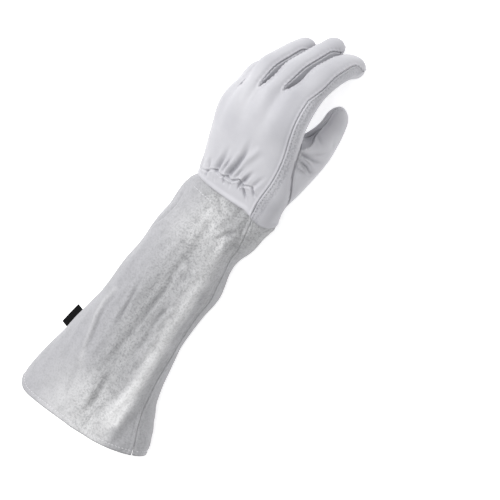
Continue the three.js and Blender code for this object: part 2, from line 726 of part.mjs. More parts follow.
function cuffBack() {
  return cuffPanel('cuff_back', 18, (across, u) => {
    const even = mix(cuffColumns.seam, 180 - seams.littleSide, across);
    const slit = cuffSlit.angle * ramp(cuffSlit.from, cuffSlit.to, u) * ramp(cuffSlit.width, 0, across);
    return even + seamShift(u, even - cuffColumns.seam) + slit;
  });
}

function cuffPalm() {
  const trim = seamTrims.cuff;
  return cuffPanel('cuff_palm', 13, (across, u) => {
    const even = mix(180 - seams.littleSide + trim, 360 + cuffColumns.seam - trim, across);
    const slit = cuffSlit.angle * ramp(cuffSlit.from, cuffSlit.to, u) * ramp(1 - cuffSlit.width, 1, across);
    return even + seamShift(u, 360 + cuffColumns.seam - trim - even) - slit;
  });
}

// A woven tab that stands out of the cuff's seam on the little finger side
function labelTab() {
  const near = cuffPoint(label.angle * degree, label.u - label.long / 2, 0);
  const far = cuffPoint(label.angle * degree, label.u + label.long / 2, 0);
  const edge = far.clone().sub(near);
  const geometry = new THREE.BoxGeometry(label.wide, edge.length(), label.thick);
  const mesh = new THREE.Mesh(geometry, materials.woven);
  mesh.name = 'label_tab';
  mesh.rotation.z = Math.atan2(-edge.x, edge.y) + Math.PI;
  const outward = new THREE.Vector3(edge.y, -edge.x, 0).normalize();
  const middle = near.add(far).multiplyScalar(0.5);
  mesh.position.copy(middle).addScaledVector(outward, label.wide / 2 + seamGap);
  return mesh;
}

const glove = new THREE.Group();
glove.name = 'glove';
glove.position.set(originShift.x, originShift.y, 0);
glove.add(
  backPanel(),
  palmPanel(),
  fingerFront('middle_front', 1),
  fingerFront('ring_front', 2),
  fourchette('fourchette_index_middle', 0),
  fourchette('fourchette_middle_ring', 1),
  fourchette('fourchette_ring_little', 2),
  thumbHalf('thumb_back', thumbSeam - 180, thumbSeam, false),
  thumbHalf('thumb_front', thumbSeam, thumbSeam + 180, true),
  cuffBack(),
  cuffPalm(),
  labelTab(),
);

export default glove;
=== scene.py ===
import bpy
import numpy as np
from mathutils import Matrix, Vector


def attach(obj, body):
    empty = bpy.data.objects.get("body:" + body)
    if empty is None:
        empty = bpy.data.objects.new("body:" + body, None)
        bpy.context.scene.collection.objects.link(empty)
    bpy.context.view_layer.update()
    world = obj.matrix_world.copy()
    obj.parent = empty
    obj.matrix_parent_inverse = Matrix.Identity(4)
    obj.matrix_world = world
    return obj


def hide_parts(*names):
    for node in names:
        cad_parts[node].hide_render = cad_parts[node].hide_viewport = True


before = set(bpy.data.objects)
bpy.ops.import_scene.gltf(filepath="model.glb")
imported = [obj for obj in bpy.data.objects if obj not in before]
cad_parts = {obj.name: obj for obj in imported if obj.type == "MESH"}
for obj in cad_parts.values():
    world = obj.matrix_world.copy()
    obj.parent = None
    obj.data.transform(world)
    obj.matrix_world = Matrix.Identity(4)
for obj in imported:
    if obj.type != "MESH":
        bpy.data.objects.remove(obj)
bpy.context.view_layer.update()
print("frame loaded")

# Millimetres and degrees. +X is the thumb side, +Y runs from the cuff's opening to the
# fingertips, +Z is up. Everything is moved by frameShift into the frame at the end.
degree = np.pi / 180
frameShift = np.array([10.5, -189.2, 0.0])
millimetre = 0.001

palm = {
    "sections": {
        "y": [0, 14, 40, 80, 118],
        "half": [45.5, 43.5, 46, 48.5, 49.5],
        "centre": [1.5, 2.5, 3.5, 1, 1.8],
        "back": [22, 19, 18.5, 16.5, 13.5],
        "palm": [24, 21, 20, 17, 13],
    },
    "squareness": 2.5,
    "end": 118,
    "heel": {"y": 22, "half": 20, "out": 7.5, "below": 20, "power": 3},
    "valley": {"depth": 4, "width": 6, "length": 42},
    "wall": 1.6,
}
pose = {"roll": 10.8, "pitch": 17.1, "yaw": 12.7, "place": [2, 238, 37.9]}
arch = {"radius": 218, "cup": 26, "cupFrom": -14, "cupTo": -38, "grows": 70}
placing = {"bendSteps": 32, "archSteps": 12}   # steps of the two sums in placeOnHand
wristSeam = {"middle": 7.8, "slant": 0.1, "fades": 48, "drop": 9, "dropFrom": 24, "dropTo": 47}

fingers = [
    {"x": 34.3, "half": 13.9, "high": 12, "knuckle": 92, "middle": 137.5, "end": 168,
     "tip": 192.2, "bend": [41.2, 30.4, 20.8], "splay": 4.6, "curl": 4.2},
    {"x": 7.4, "half": 11, "high": 11.2, "knuckle": 95, "middle": 133.2, "end": 171,
     "tip": 198, "bend": [40.8, 27, 0], "splay": 4.6, "curl": 2.1},
    {"x": -14.3, "half": 10.9, "high": 11, "knuckle": 90, "middle": 123.6, "end": 165,
     "tip": 186, "bend": [28.9, 39.4, 10.2], "splay": -0.3, "curl": -3.5},
    {"x": -36, "half": 9.9, "high": 10.2, "knuckle": 82, "middle": 116.9, "end": 137.8,
     "tip": 157, "bend": [35.4, 61, 46], "splay": -1.4, "curl": -12.7},
]
fingerForm = {
    "squareness": 2.2, "capSquareness": 2.2, "capLength": 12, "splayOrigin": 100,
    "taper": 0.1, "joint": 0.03, "jointHalf": 9, "waist": 0.05, "waistHalf": 12, "waistShift": 4,
    "bendLengths": [34, 26, 22],
}
borders = [
    {"x": 48, "crotch": None, "opening": 0},
    {"x": 17.6, "crotch": 110.4, "opening": 1.3},
    {"x": -4, "crotch": 105.1, "opening": 1.3},
    {"x": -25.6, "crotch": 96.3, "opening": 2.4},
    {"x": -48, "crotch": None, "opening": 0},
]
parting = {"palmHalf": 48, "length": 22, "openingLength": 5, "notch": 1.15, "notchPower": 4}
seams = {
    "thumbSide": 35, "atWrist": 49, "blend": 70, "low": -35, "littleSide": 8,
    "closeFrom": 26, "closeTo": 10, "gap": 0.12, "gapRadius": 30, "fourchetteGap": 0.15,
}


def ramp(start, end, value):
    # smooth step: 0 before start, 1 after end, t * t * (3 - 2t) between them
    t = np.clip((np.asarray(value, float) - start) / (end - start), 0, 1)
    return t * t * (3 - 2 * t)


def mix(a, b, share):
    # a + (b - a) * share
    return a + (b - a) * share


def bell(distance, half):
    # e to the minus (distance / half) squared
    return np.exp(-((distance / half) ** 2))


def signedPower(value, exponent):
    # the size of value to the power exponent, with the sign of value
    return np.sign(value) * np.abs(value) ** exponent


def unit(vectors):
    # vectors divided by their lengths
    return vectors / np.maximum(np.linalg.norm(vectors, axis=-1, keepdims=True), 1e-9)


def upperShare(sine):
    # 0 at the sides and 1 above: twice the sine of the angle round a section
    return np.clip(sine * 2, 0, 1)


def along(table, column, station):
    # cubic curve through a column of a table, whose slopes are those between the neighbours
    keys = np.array(next(iter(table.values())), float)
    values = np.array(table[column], float)
    v = np.clip(np.asarray(station, float), keys[0], keys[-1])
    i = np.clip(np.searchsorted(keys, v, side="right") - 1, 0, len(keys) - 2)
    slope = np.empty_like(values)
    slope[1:-1] = (values[2:] - values[:-2]) / (keys[2:] - keys[:-2])
    slope[0] = (values[1] - values[0]) / (keys[1] - keys[0])
    slope[-1] = (values[-1] - values[-2]) / (keys[-1] - keys[-2])
    step = keys[i + 1] - keys[i]
    t = (v - keys[i]) / step
    return ((2 * t**3 - 3 * t**2 + 1) * values[i] + (t**3 - 2 * t**2 + t) * step * slope[i]
            + (3 * t**2 - 2 * t**3) * values[i + 1] + (t**3 - t**2) * step * slope[i + 1])


def turned(points, axis, angle):
    # the points turned about X, Y or Z by an angle in degrees
    turn = np.array(Matrix.Rotation(angle * degree, 3, axis))
    return points @ turn.T


def wristStation(x):
    # the wrist seam: a line slanted across the hand, dropping by a smooth step at the thumb side
    drop = wristSeam["drop"] * ramp(wristSeam["dropFrom"], wristSeam["dropTo"], x)
    return wristSeam["middle"] - wristSeam["slant"] * x - drop


def palmSurface(angle, y, inset):
    # superellipse section at station y: half width times cosine, height times sine, both to
    # the power 2 / squareness, swollen at the thumb's heel and dented between the knuckles
    sections = palm["sections"]
    cosine, sine = np.cos(angle), np.sin(angle)
    half = along(sections, "half", y)
    high = np.where(sine > 0, along(sections, "back", y), along(sections, "palm", y)) - inset
    power = 2 / palm["squareness"]
    heel = palm["heel"]
    facing = np.maximum(0, np.cos(angle + heel["below"] * degree))
    x = (along(sections, "centre", y) + (half - inset) * signedPower(cosine, power)
         + heel["out"] * bell(y - heel["y"], heel["half"]) * facing ** heel["power"])
    z = high * signedPower(sine, power)
    flat = upperShare(np.abs(sine))
    valley = palm["valley"]
    for border in borders[1:4]:
        depth = valley["depth"] * ramp(border["crotch"] - valley["length"], border["crotch"], y)
        line = border["x"] * half / parting["palmHalf"]
        z = z - np.sign(sine) * depth * bell(x - line, valley["width"]) * flat
    return x, z


def rowStation(angle, row):
    # rows near the wrist lean with the slanted seam
    sections = palm["sections"]
    x = sections["centre"][0] + sections["half"][0] * signedPower(np.cos(angle), 2 / palm["squareness"])
    return row + (1 - np.clip(row / wristSeam["fades"], 0, 1)) * wristStation(x)


def borderAngle(index, y):
    # angle round the palm at which the border between two fingers runs
    y = np.asarray(y, float)
    if index == 0:
        return degree * mix(seams["atWrist"], seams["thumbSide"], ramp(0, seams["blend"], y))
    if index == 4:
        return np.pi - seams["littleSide"] * degree + 0 * y
    half = along(palm["sections"], "half", y)
    share = (borders[index]["x"] * half / parting["palmHalf"]
             - along(palm["sections"], "centre", y)) / half
    return np.arccos(np.clip(signedPower(share, palm["squareness"] / 2), -1, 1))


def partedShare(crotch, y):
    # sine of a quarter turn over the length in which a finger parts from the palm
    return np.sin(np.clip((y - crotch) / parting["length"], 0, 1) * np.pi / 2)


def tipShare(finger, y):
    # share of the round cap passed at station y
    length = fingerForm["capLength"]
    return np.clip((y - finger["tip"] + length) / length, 0, 1)


def fingerScale(finger, y):
    # 1 less a smooth taper, plus a bell at the middle joint, less one below it, times the round
    # cap sqrt(1 - tipShare to the power capSquareness)
    form = fingerForm
    cap = np.sqrt(np.clip(1 - tipShare(finger, y) ** form["capSquareness"], 0, 1))
    waist = (finger["knuckle"] + finger["middle"]) / 2 + form["waistShift"]
    return cap * (1 - form["taper"] * ramp(finger["knuckle"], finger["tip"], y)
                  + form["joint"] * bell(y - finger["middle"], form["jointHalf"])
                  - form["waist"] * bell(y - waist, form["waistHalf"]))


def fingerCentre(finger, y):
    # place across plus tan(splay) * (y - where the splay starts)
    return finger["x"] + np.tan(finger["splay"] * degree) * (y - fingerForm["splayOrigin"])


def acrossFingers(x, values):
    # straight lines between the four fingers' values at their places across
    places = [finger["x"] for finger in fingers]
    return np.interp(x, places[::-1], values[::-1])


def walked(angleAt, length, steps):
    # how far a curve goes forward and down: sums of the cosine and sine of its angle
    forward, down = 0 * length, 0 * length
    for step in range(steps):
        angle = angleAt(length * (step + 0.5) / steps)
        forward = forward + np.cos(angle) * length / steps
        down = down + np.sin(angle) * length / steps
    return forward, down


def placeOnHand(index, x, y, z, spread, parted=0.0):
    # sums the bent hand's direction along y, the arch's lean across it, and tilts the whole
    finger = fingers[index]
    knuckle = acrossFingers(spread, [row["knuckle"] for row in fingers])
    firstBend = acrossFingers(spread, [row["bend"][0] for row in fingers])
    lengths = fingerForm["bendLengths"]

    def bendAt(v):
        # the bend so far: three smooth steps at the knuckle and the two joints
        return degree * (firstBend * ramp(-0.5, 0.5, (v - knuckle) / lengths[0])
                         + finger["bend"][1] * ramp(-0.5, 0.5, (v - finger["middle"]) / lengths[1])
                         + finger["bend"][2] * ramp(-0.5, 0.5, (v - finger["end"]) / lengths[2]))

    forward, down = walked(bendAt, y, placing["bendSteps"])
    bend = bendAt(y)
    bentY, bentZ = forward + z * np.sin(bend), z * np.cos(bend)

    grown = ramp(0, arch["grows"], y)

    def leanAt(v):
        # v / radius, and a smooth step that cups the little finger's side
        return grown * (v / arch["radius"]
                        - arch["cup"] * degree * ramp(arch["cupFrom"], arch["cupTo"], v))

    sideways, drop = walked(leanAt, spread, placing["archSteps"])
    lean = leanAt(spread)
    curl = mix(lean, finger["curl"] * degree, parted)
    points = np.stack([
        sideways + (x - spread) * np.cos(lean) + bentZ * np.sin(lean) - down * np.sin(curl),
        bentY,
        bentZ * np.cos(lean) - drop - (x - spread) * np.sin(lean) - down * np.cos(curl),
    ], -1)
    points = turned(points, "Y", -pose["roll"])
    points = turned(points, "X", pose["pitch"])
    return turned(points, "Z", pose["yaw"]) + np.array(pose["place"])


def closingShare(finger, row):
    # from 0 to 1 over the stretch before the tip in which the strips' edges come together
    return ramp(finger["tip"] - seams["closeFrom"], finger["tip"] - seams["closeTo"], row)


def stripPoints(index, side, row, across, inset):
    # one finger's strip from the wrist to the fingertip: a point of the palm's section,
    # mixed by its parting with a point of the finger's own section
    finger = fingers[index]
    lowSide = seams["low"] * degree
    left = 1 - closingShare(finger, row)
    radialTop, low = seams["thumbSide"] * degree * left, lowSide * left
    ulnarTop = seams["littleSide"] * degree * left if index == 3 else radialTop
    start = borderAngle(index, np.minimum(row, palm["end"]))
    end = borderAngle(index + 1, np.minimum(row, palm["end"]))
    gapAngle = seams["gap"] / seams["gapRadius"]
    isWeb = (side == "radial" and index > 0) or (side == "ulnar" and index < 3)
    if side == "back":
        palmAngle, fingerAngle = mix(start, end, across), mix(radialTop, np.pi - ulnarTop, across)
    elif side == "front":
        first = -start if index > 0 else lowSide
        last = -end if index < 3 else -np.pi - lowSide
        palmAngle, fingerAngle = mix(first, last, across), mix(low, -np.pi - low, across)
    elif side == "radial":
        palmAngle = start if index > 0 else mix(start - gapAngle, lowSide, across)
        fingerAngle = mix(radialTop, low, across)
    else:
        palmAngle = end if index < 3 else mix(end + gapAngle, np.pi - lowSide, across)
        fingerAngle = mix(np.pi - ulnarTop, np.pi - low, across)
    y = rowStation(palmAngle, row)
    palmY = np.minimum(y, palm["end"])
    x, z = palmSurface(palmAngle, palmY, inset)
    flatX = x
    if isWeb:
        underX, underZ = palmSurface(-palmAngle, palmY, inset)
        x, z = mix(x, underX, across), mix(z, underZ, across)

    crotches = [border["crotch"] for border in borders[index:index + 2]]
    crotches = [crotch or max(filter(None, crotches)) for crotch in crotches]
    place = {"radial": 0 * across, "ulnar": 0 * across + 1}.get(side, across)
    parted = mix(partedShare(crotches[0], y), partedShare(crotches[1], y), place)
    stationInset = inset * tipShare(finger, y)
    for which, push, near in ((0, -1, 1 - place), (1, 1, place)):
        # the gap opened between two fingers, widest at their border, and the wall's thickness
        border, crotch = borders[index + which], crotches[which]
        if border["crotch"]:
            opened = border["opening"] * ramp(0, parting["openingLength"], y - crotch)
            atBorder = place == which
            x = x + push * opened * near**2 + push * np.where(atBorder & (y > crotch), inset, 0)
            stationInset = np.where(atBorder & (y == crotch), inset, stationInset)

    scale = fingerScale(finger, y)
    power = 2 / fingerForm["squareness"]
    centre = fingerCentre(finger, y)
    fingerX = centre + (finger["half"] - inset) * scale * signedPower(np.cos(fingerAngle), power)

    def heightAt(angle):
        # half height times sine, to the power 2 / squareness
        return (finger["high"] - inset) * scale * signedPower(np.sin(angle), power)

    fingerZ = heightAt(fingerAngle)
    if side != "back":
        backEdge = mix(heightAt(radialTop), heightAt(ulnarTop), place)
        fingerZ = np.minimum(fingerZ, backEdge - seams["gap"])
    newX, newZ = mix(x, fingerX, parted), mix(z, fingerZ, parted)
    spread = mix(newX, centre, parted)
    points = placeOnHand(index, newX, y - stationInset, newZ, spread, parted)
    return points, mix(flatX, fingerX, parted), y


# Relief: creases, ridges and seams stand in or out of the smooth surface
def lineDistance(x, y, path):
    # distance to a polyline, and the share of its length at the nearest point
    path = np.array(path, float)
    lengths = np.hypot(*np.diff(path, axis=0).T)
    starts = np.concatenate([[0], np.cumsum(lengths)])
    best = np.full(np.shape(x), np.inf)
    share = np.zeros(np.shape(x))
    for a, b, start, length in zip(path[:-1], path[1:], starts, lengths):
        t = np.clip(((x - a[0]) * (b[0] - a[0]) + (y - a[1]) * (b[1] - a[1])) / length**2, 0, 1)
        distance = np.hypot(x - mix(a[0], b[0], t), y - mix(a[1], b[1], t))
        nearer = distance < best
        best = np.where(nearer, distance, best)
        share = np.where(nearer, (start + t * length) / starts[-1], share)
    return best, share


def creaseTable(rows, columns="depth half peak lip path", **same):
    # rows of numbers under named columns, with what is the same in every row; peak is the share
    # of its length where a crease is deepest, lip the height of its banks, and tail the power at
    # which it fades
    return [dict(zip(columns.split(), row), **same) for row in rows]


creaseForm = {"start": -0.25, "end": 1.02, "lipAt": 1.9, "lipHalf": 0.9}


def creaseHeight(x, y, creases):
    # each crease is a bell-shaped groove along its path, deepest at its peak share, with a
    # low lip on both sides; a negative depth makes a ridge
    height = np.zeros(np.shape(x))
    for crease in creases:
        distance, share = lineDistance(x, y, crease["path"])
        peak, half = crease["peak"], crease["half"]
        fading = ramp(creaseForm["end"], peak, share) ** crease.get("tail", 1)
        body = np.where(share < peak, ramp(creaseForm["start"], peak, share), fading)
        groove = bell(distance, half)
        lip = crease["lip"] * bell(distance - creaseForm["lipAt"] * half, creaseForm["lipHalf"] * half)
        height = height + crease["depth"] * body * (lip - groove)
    return height


beadRows = {
    "seam": [(0.4, 1.2, 0.8), (-0.18, 3.2, 1.2)],
    "backLip": [(0.9, 1.5, 2.2)], "palmLip": [(0.8, 1.5, 2.2)], "puff": [(0.8, 9, 6)],
    "strip": [(0.35, 1.2, 0.8)], "stripGroove": [(-0.3, 7.2, 1)],
    "hem": [(0.25, 2.2, 1.6), (-0.4, 4.6, 0.7)], "cuffSeam": [(0.3, 1.6, 1.2), (-0.25, 4.2, 0.8)],
}


def beads(distance, name):
    # ridges and grooves beside a line: height * bell(distance - place, half) for each row
    return sum(height * bell(distance - place, half) for height, place, half in beadRows[name])


# Points within about 1 / merge millimetres are joined. An edge is rounded by roll, and the
# inner face follows a share of the outer one's relief
sheet = {"merge": 2000, "roll": 0.5, "rollHalf": 0.8, "inner": 0.6, "floor": 0.02, "innerFloor": 0.3}
far = {"edge": 99.0, "seam": 50, "oval": 9.0}   # stand for no edge, seam or oval nearby


def quads(a, b, c, d):
    # two triangles for every four corners: a, b, c and a, c, d
    return np.concatenate([np.stack(corners, -1).reshape(-1, 3) for corners in ((a, b, c), (a, c, d))])


def faceNormals(points, faces):
    # cross product of two sides of each triangle
    a, b, c = np.moveaxis(points[faces], 1, 0)
    return np.cross(b - a, c - a)


def mergedGrid(patches):
    # joins the patches at equal points; a patch holds outer and inner points and its data
    outer, inner = [np.concatenate([patch[key].reshape(-1, 3) for patch in patches])
                    for key in ("outer", "inner")]
    data = {name: np.concatenate([patch["data"][name].ravel() for patch in patches])
            for name in patches[0]["data"]}
    keys = np.round(outer * sheet["merge"]).astype(np.int64)
    _, first, same = np.unique(keys, axis=0, return_index=True, return_inverse=True)
    same = same.ravel()
    faces = []
    base = 0
    for patch in patches:
        rows, columns = patch["outer"].shape[:2]
        ids = same[base + np.arange(rows * columns)].reshape(rows, columns)
        base += rows * columns
        found = quads(ids[:-1, :-1], ids[1:, :-1], ids[1:, 1:], ids[:-1, 1:])
        if "open" in patch:
            found = found[~np.tile(patch["open"].ravel(), 2)]
        found = found[(found != np.roll(found, 1, 1)).all(1)]
        outward = (outer - inner)[first][found].sum(1)
        if (faceNormals(outer[first], found) * outward).sum() < 0:
            found = found[:, ::-1]
        faces.append(found)
    used, faces = np.unique(np.concatenate(faces), return_inverse=True)
    pick = first[used]
    return outer[pick], inner[pick], faces.reshape(-1, 3), {name: data[name][pick] for name in data}


def vertexNormals(points, faces):
    # sum of the neighbouring faces' normals, weighted by their area
    normal = faceNormals(points, faces)
    total = np.stack([np.bincount(faces.ravel(), np.repeat(normal[:, axis], 3), len(points))
                      for axis in range(3)], -1)
    return unit(total)


def placed(name, data):
    # an object of the scene with these data
    made = bpy.data.objects.new(name, data)
    bpy.context.scene.collection.objects.link(made)
    return made


def newObject(name, points, faces, material, replaced, smooth=None):
    # puts arrays of points and triangles into a mesh object, hides the parts it stands for and hangs it on
    # the root body
    mesh = bpy.data.meshes.new(name)
    mesh.vertices.add(len(points))
    mesh.vertices.foreach_set("co", ((points + frameShift) * millimetre).astype(np.float32).ravel())
    mesh.loops.add(faces.size)
    mesh.loops.foreach_set("vertex_index", faces.astype(np.int32).ravel())
    mesh.polygons.add(len(faces))
    mesh.polygons.foreach_set("loop_start", np.arange(0, faces.size, 3, dtype=np.int32))
    mesh.polygons.foreach_set("use_smooth", np.ones(len(faces), bool) if smooth is None else smooth)
    mesh.update(calc_edges=True)
    mesh.materials.append(material)
    made = placed(name, mesh)
    for node in replaced:
        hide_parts(node)
    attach(made, "root")
    print(name, len(faces), "triangles")
    return made


def sheetObject(name, patches, relief, material, replaced):
    # a closed sheet: the outer face pushed out by its relief, the inner face, and a wall
    # along every free edge
    outer, inner, faces, data = mergedGrid(patches)
    normal = vertexNormals(outer, faces)
    height, shade = relief(data)
    roll = sheet["roll"] * bell(data["edge"], sheet["rollHalf"])
    outer = outer + normal * (height - roll)[:, None]
    inner = inner + normal * (sheet["inner"] * height + sheet["inner"] * roll)[:, None]
    outer[:, 2] = np.maximum(outer[:, 2], sheet["floor"])
    inner[:, 2] = np.maximum(inner[:, 2], sheet["innerFloor"])
    count = len(outer)
    edges = np.concatenate([faces[:, [0, 1]], faces[:, [1, 2]], faces[:, [2, 0]]]).astype(np.int64)
    free = edges[~np.isin(edges @ [count, 1], edges @ [1, count])]
    a, b = free[:, 0], free[:, 1]
    walls = quads(b, a, a + count, b + count)
    allFaces = np.concatenate([faces, faces[:, ::-1] + count, walls])
    smooth = np.arange(len(allFaces)) < 2 * len(faces)
    made = newObject(name, np.concatenate([outer, inner]), allFaces, material, replaced, smooth)
    shown = {"seam": data["seam"], "run": data["run"], "shade": shade}
    shown.update({key: data[key] for key in ("nap", "rub") if key in data})
    for key, values in shown.items():
        # one number for each point, and no seam on the inner face
        attribute = made.data.attributes.new(key, "FLOAT", "POINT")
        within = values + far["seam"] if key == "seam" else values
        attribute.data.foreach_set("value", np.concatenate([values, within]).astype(np.float32))


# Shader tools
class Wire:
    # a shader socket that takes part in sums: wire + 1 adds a Math node
    def __init__(self, recipe, socket):
        self.recipe = recipe
        self.socket = socket

    def __add__(self, other):
        return self.recipe.join("ADD", self, other)

    def __sub__(self, other):
        return self.recipe.join("SUBTRACT", self, other)

    def __rsub__(self, other):
        return self.recipe.join("SUBTRACT", other, self)

    def __mul__(self, other):
        return self.recipe.join("MULTIPLY", self, other)

    __radd__ = __add__
    __rmul__ = __mul__


class Recipe:
    # a material and the nodes that feed its shader
    def __init__(self, name):
        self.material = bpy.data.materials.new(name)
        self.material.use_nodes = True
        self.tree = self.material.node_tree
        self.shader = self.tree.nodes["Principled BSDF"]

    def put(self, socket, value):
        # a value or a link into a socket
        if isinstance(value, Wire):
            self.tree.links.new(value.socket, socket)
        else:
            socket.default_value = value

    def node(self, kind, settings=None, inputs=None, output=0):
        # any node: its settings first, then the values or links of its sockets
        made = self.tree.nodes.new(kind)
        for key, value in (settings or {}).items():
            setattr(made, key, value)
        for key, value in (inputs or {}).items():
            self.put(made.inputs[key], value)
        return Wire(self, made.outputs[output])

    def join(self, operation, first, second=0):
        # first operation second, as one Math node
        return self.node("ShaderNodeMath", {"operation": operation}, {0: first, 1: second})

    def attribute(self, name):
        # a number kept at the mesh's points
        return self.node("ShaderNodeAttribute", {"attribute_name": name}, output="Fac")

    def place(self):
        # metres in the part's frame
        return self.node("ShaderNodeTexCoord", output="Object")

    def noise(self, scale, detail, roughness=0.55, distortion=0):
        # clouds from 0 to 1, scale of them in a metre
        return self.node("ShaderNodeTexNoise", inputs={
            "Vector": self.place(), "Scale": scale, "Detail": detail,
            "Roughness": roughness, "Distortion": distortion})

    def smooth(self, value, low, high, toLow=0, toHigh=1):
        # smooth step from toLow at low to toHigh at high
        return self.node("ShaderNodeMapRange", {"interpolation_type": "SMOOTHSTEP"},
                         {0: value, 1: low, 2: high, 3: toLow, 4: toHigh})

    def blend(self, share, first, second):
        # first * (1 - share) + second * share, for colours
        return self.node("ShaderNodeMix", {"data_type": "RGBA"}, {0: share, 6: first, 7: second}, output=2)

    def bump(self, height, distance, strength, below=None):
        # normals of a height, over those of the bump below it
        inputs = {"Height": height, "Distance": distance, "Strength": strength}
        if below is not None:
            inputs["Normal"] = below
        return self.node("ShaderNodeBump", inputs=inputs)

    def feed(self, **values):
        # values or links into the shader's sockets
        for key, value in values.items():
            self.put(self.shader.inputs[key.replace("_", " ")], value)
        return self.material


# Noises hold scale, detail, roughness and distortion, bumps hold distance and strength, and
# smooth steps hold both ends, and then what they go from and to
leather = {
    "light": (0.49, 0.488, 0.515, 1), "dark": (0.455, 0.453, 0.482, 1),
    # crease is the colour toward which painted shade darkens the leather, also in the pebbles' pits; hole
    # is painted shade standing for the inside of a needle hole
    "crease": (0.24, 0.24, 0.265, 1), "hole": (0.16, 0.16, 0.17, 1),
    "clouds": (30, 3), "waves": (120, 3, 0.5), "grain": (900, 3, 0.6), "drift": (620, 2, 0.5),
    "cloudEdges": (0.35, 0.68), "creaseShare": 0.85, "specular": 0.38,
    "roughness": (0.3, 0.7, 0.48, 0.6), "waveBump": (0.0006, 0.3), "grainBump": (0.00016, 0.6),
    "grainDepth": 0.8, "pebbleScale": 620, "pebbleEdges": (0.35, 0.75), "pitShare": 0.38, "pitDepth": 1.6,
    "bandStart": (0.8, 1.8), "bandEnd": (7.5, 10.5, 1, 0),
}
holes = {
    "rows": [2.3, 6.0], "step": 3.0, "radius": 0.6, "lean": 0.25, "drift": 1.1, "rowDrift": 0.8,
    "reach": (0, 1.4, 1, 0), "beat": (0.35, 0.95), "rowShare": 0.5, "share": (0.1, 0.9, 0, 0.74),
}
suede = {
    # the lightest colour is a painted highlight, laid where the suede is also worn smoother
    "light": (0.45, 0.452, 0.462, 1), "dark": (0.22, 0.222, 0.23, 1), "rubbed": (0.78, 0.78, 0.785, 1),
    # crease is the colour of painted shade, and also of the finest layer's dark specks
    "smooth": (0.385, 0.383, 0.406, 1), "crease": (0.14, 0.14, 0.15, 1),
    "clouds": (16, 3, 0.5), "cloudShare": (0.4, 0.65, 0, 0.16), "creaseShare": (0, 1, 0, 0.8),
    "rough": 0.32, "napRough": 0.7, "rubSmooth": 0.35, "bump": (0.0011, 0.8),
    "layers": [
        {"noise": (90, 4, 0.65, 0.4), "edges": (0.46, 0.66), "share": 0.3, "under": "dark", "depth": 1.5},
        {"noise": (480, 4, 0.72), "edges": (0.46, 0.62), "share": 0.62, "under": "dark", "depth": 1},
        {"noise": (950, 2, 0.6), "edges": (0.55, 0.7), "share": 0.3, "under": "crease", "depth": 0.6},
    ],
    "shader": {"Roughness": 0.92, "Specular_IOR_Level": 0.15, "Sheen_Weight": 0.2, "Sheen_Roughness": 0.5},
}


def grainLeather(name, punched=False):
    # smooth grain, darkened by painted shade toward the crease colour; on a punched panel a pebbly band
    # with two rows of needle holes runs beside the seam, each hole a dot of painted shade where cos(2 pi
    # run / step) is near 1, and the pebbles' pits are darkened by painted shade
    recipe = Recipe(name)
    cloud = recipe.noise(*leather["clouds"])
    dark = recipe.smooth(recipe.attribute("shade"), 0, 1, 0, leather["creaseShare"])
    colour = recipe.blend(recipe.smooth(cloud, *leather["cloudEdges"]), leather["light"], leather["dark"])
    # painted shade: darker toward the crease colour as the shade attribute grows
    colour = recipe.blend(dark, colour, leather["crease"])
    wave = recipe.bump(recipe.noise(*leather["waves"]), *leather["waveBump"])
    height = recipe.noise(*leather["grain"]) * leather["grainDepth"]
    if punched:
        seam, run = recipe.attribute("seam"), recipe.attribute("run")
        band = recipe.smooth(seam, *leather["bandStart"]) * recipe.smooth(seam, *leather["bandEnd"])
        pebbles = recipe.node("ShaderNodeTexVoronoi", {"feature": "F1"},
                              {"Vector": recipe.place(), "Scale": leather["pebbleScale"]})
        pits = recipe.smooth(pebbles, *leather["pebbleEdges"]) * band
        drift = recipe.noise(*leather["drift"])
        turn = (run + seam * holes["lean"] + drift * holes["drift"]) * (2 * np.pi / holes["step"])
        beat = recipe.smooth(recipe.join("COSINE", turn), *holes["beat"])
        mask = 0
        for row, share in zip(holes["rows"], (1, holes["rowShare"])):
            # the distance from the row in hole radii, less the noise's mean drift
            away = (seam - row + drift * holes["rowDrift"] - holes["rowDrift"] / 2) * (1 / holes["radius"])
            mask = recipe.smooth(away * away, *holes["reach"]) * beat * share + mask
        # painted shade in the pebbles' pits, then the needle holes painted dark as the shade inside them
        colour = recipe.blend(pits * leather["pitShare"], colour, leather["crease"])
        colour = recipe.blend(recipe.smooth(mask, *holes["share"]), colour, leather["hole"])
        height = height - pits * leather["pitDepth"]
    return recipe.feed(Base_Color=colour, Roughness=recipe.smooth(cloud, *leather["roughness"]),
                       Normal=recipe.bump(height, *leather["grainBump"], wave),
                       Specular_IOR_Level=leather["specular"])


def splitSuede(name):
    # "nap" says how rough the suede is: smooth and faintly violet at 0, specked at 1; the highlight
    # attribute says where a painted highlight makes it lighter, on suede that is also worn smoother there
    recipe = Recipe(name)
    shade, nap, rub = [recipe.attribute(key) for key in ("shade", "nap", "rub")]
    colour = recipe.blend(nap, suede["smooth"], suede["light"])
    # painted highlight: lighter toward the lightest colour where the highlight share is high
    colour = recipe.blend(rub, colour, suede["rubbed"])
    clouds = recipe.smooth(recipe.noise(*suede["clouds"]), *suede["cloudShare"])
    colour = recipe.blend(clouds, colour, suede["dark"])
    rough = (nap * suede["napRough"] + suede["rough"]) * (1 - rub * suede["rubSmooth"])
    height = 0
    for layer in suede["layers"]:
        noise = recipe.noise(*layer["noise"])
        share = recipe.smooth(noise, *layer["edges"]) * rough * layer["share"]
        colour = recipe.blend(share, colour, suede[layer["under"]])
        height = noise * layer["depth"] + height
    # painted shade: darker toward the crease colour as the shade attribute grows
    colour = recipe.blend(recipe.smooth(shade, *suede["creaseShare"]), colour, suede["crease"])
    return recipe.feed(Base_Color=colour, Normal=recipe.bump(height * rough, *suede["bump"]),
                       **suede["shader"])


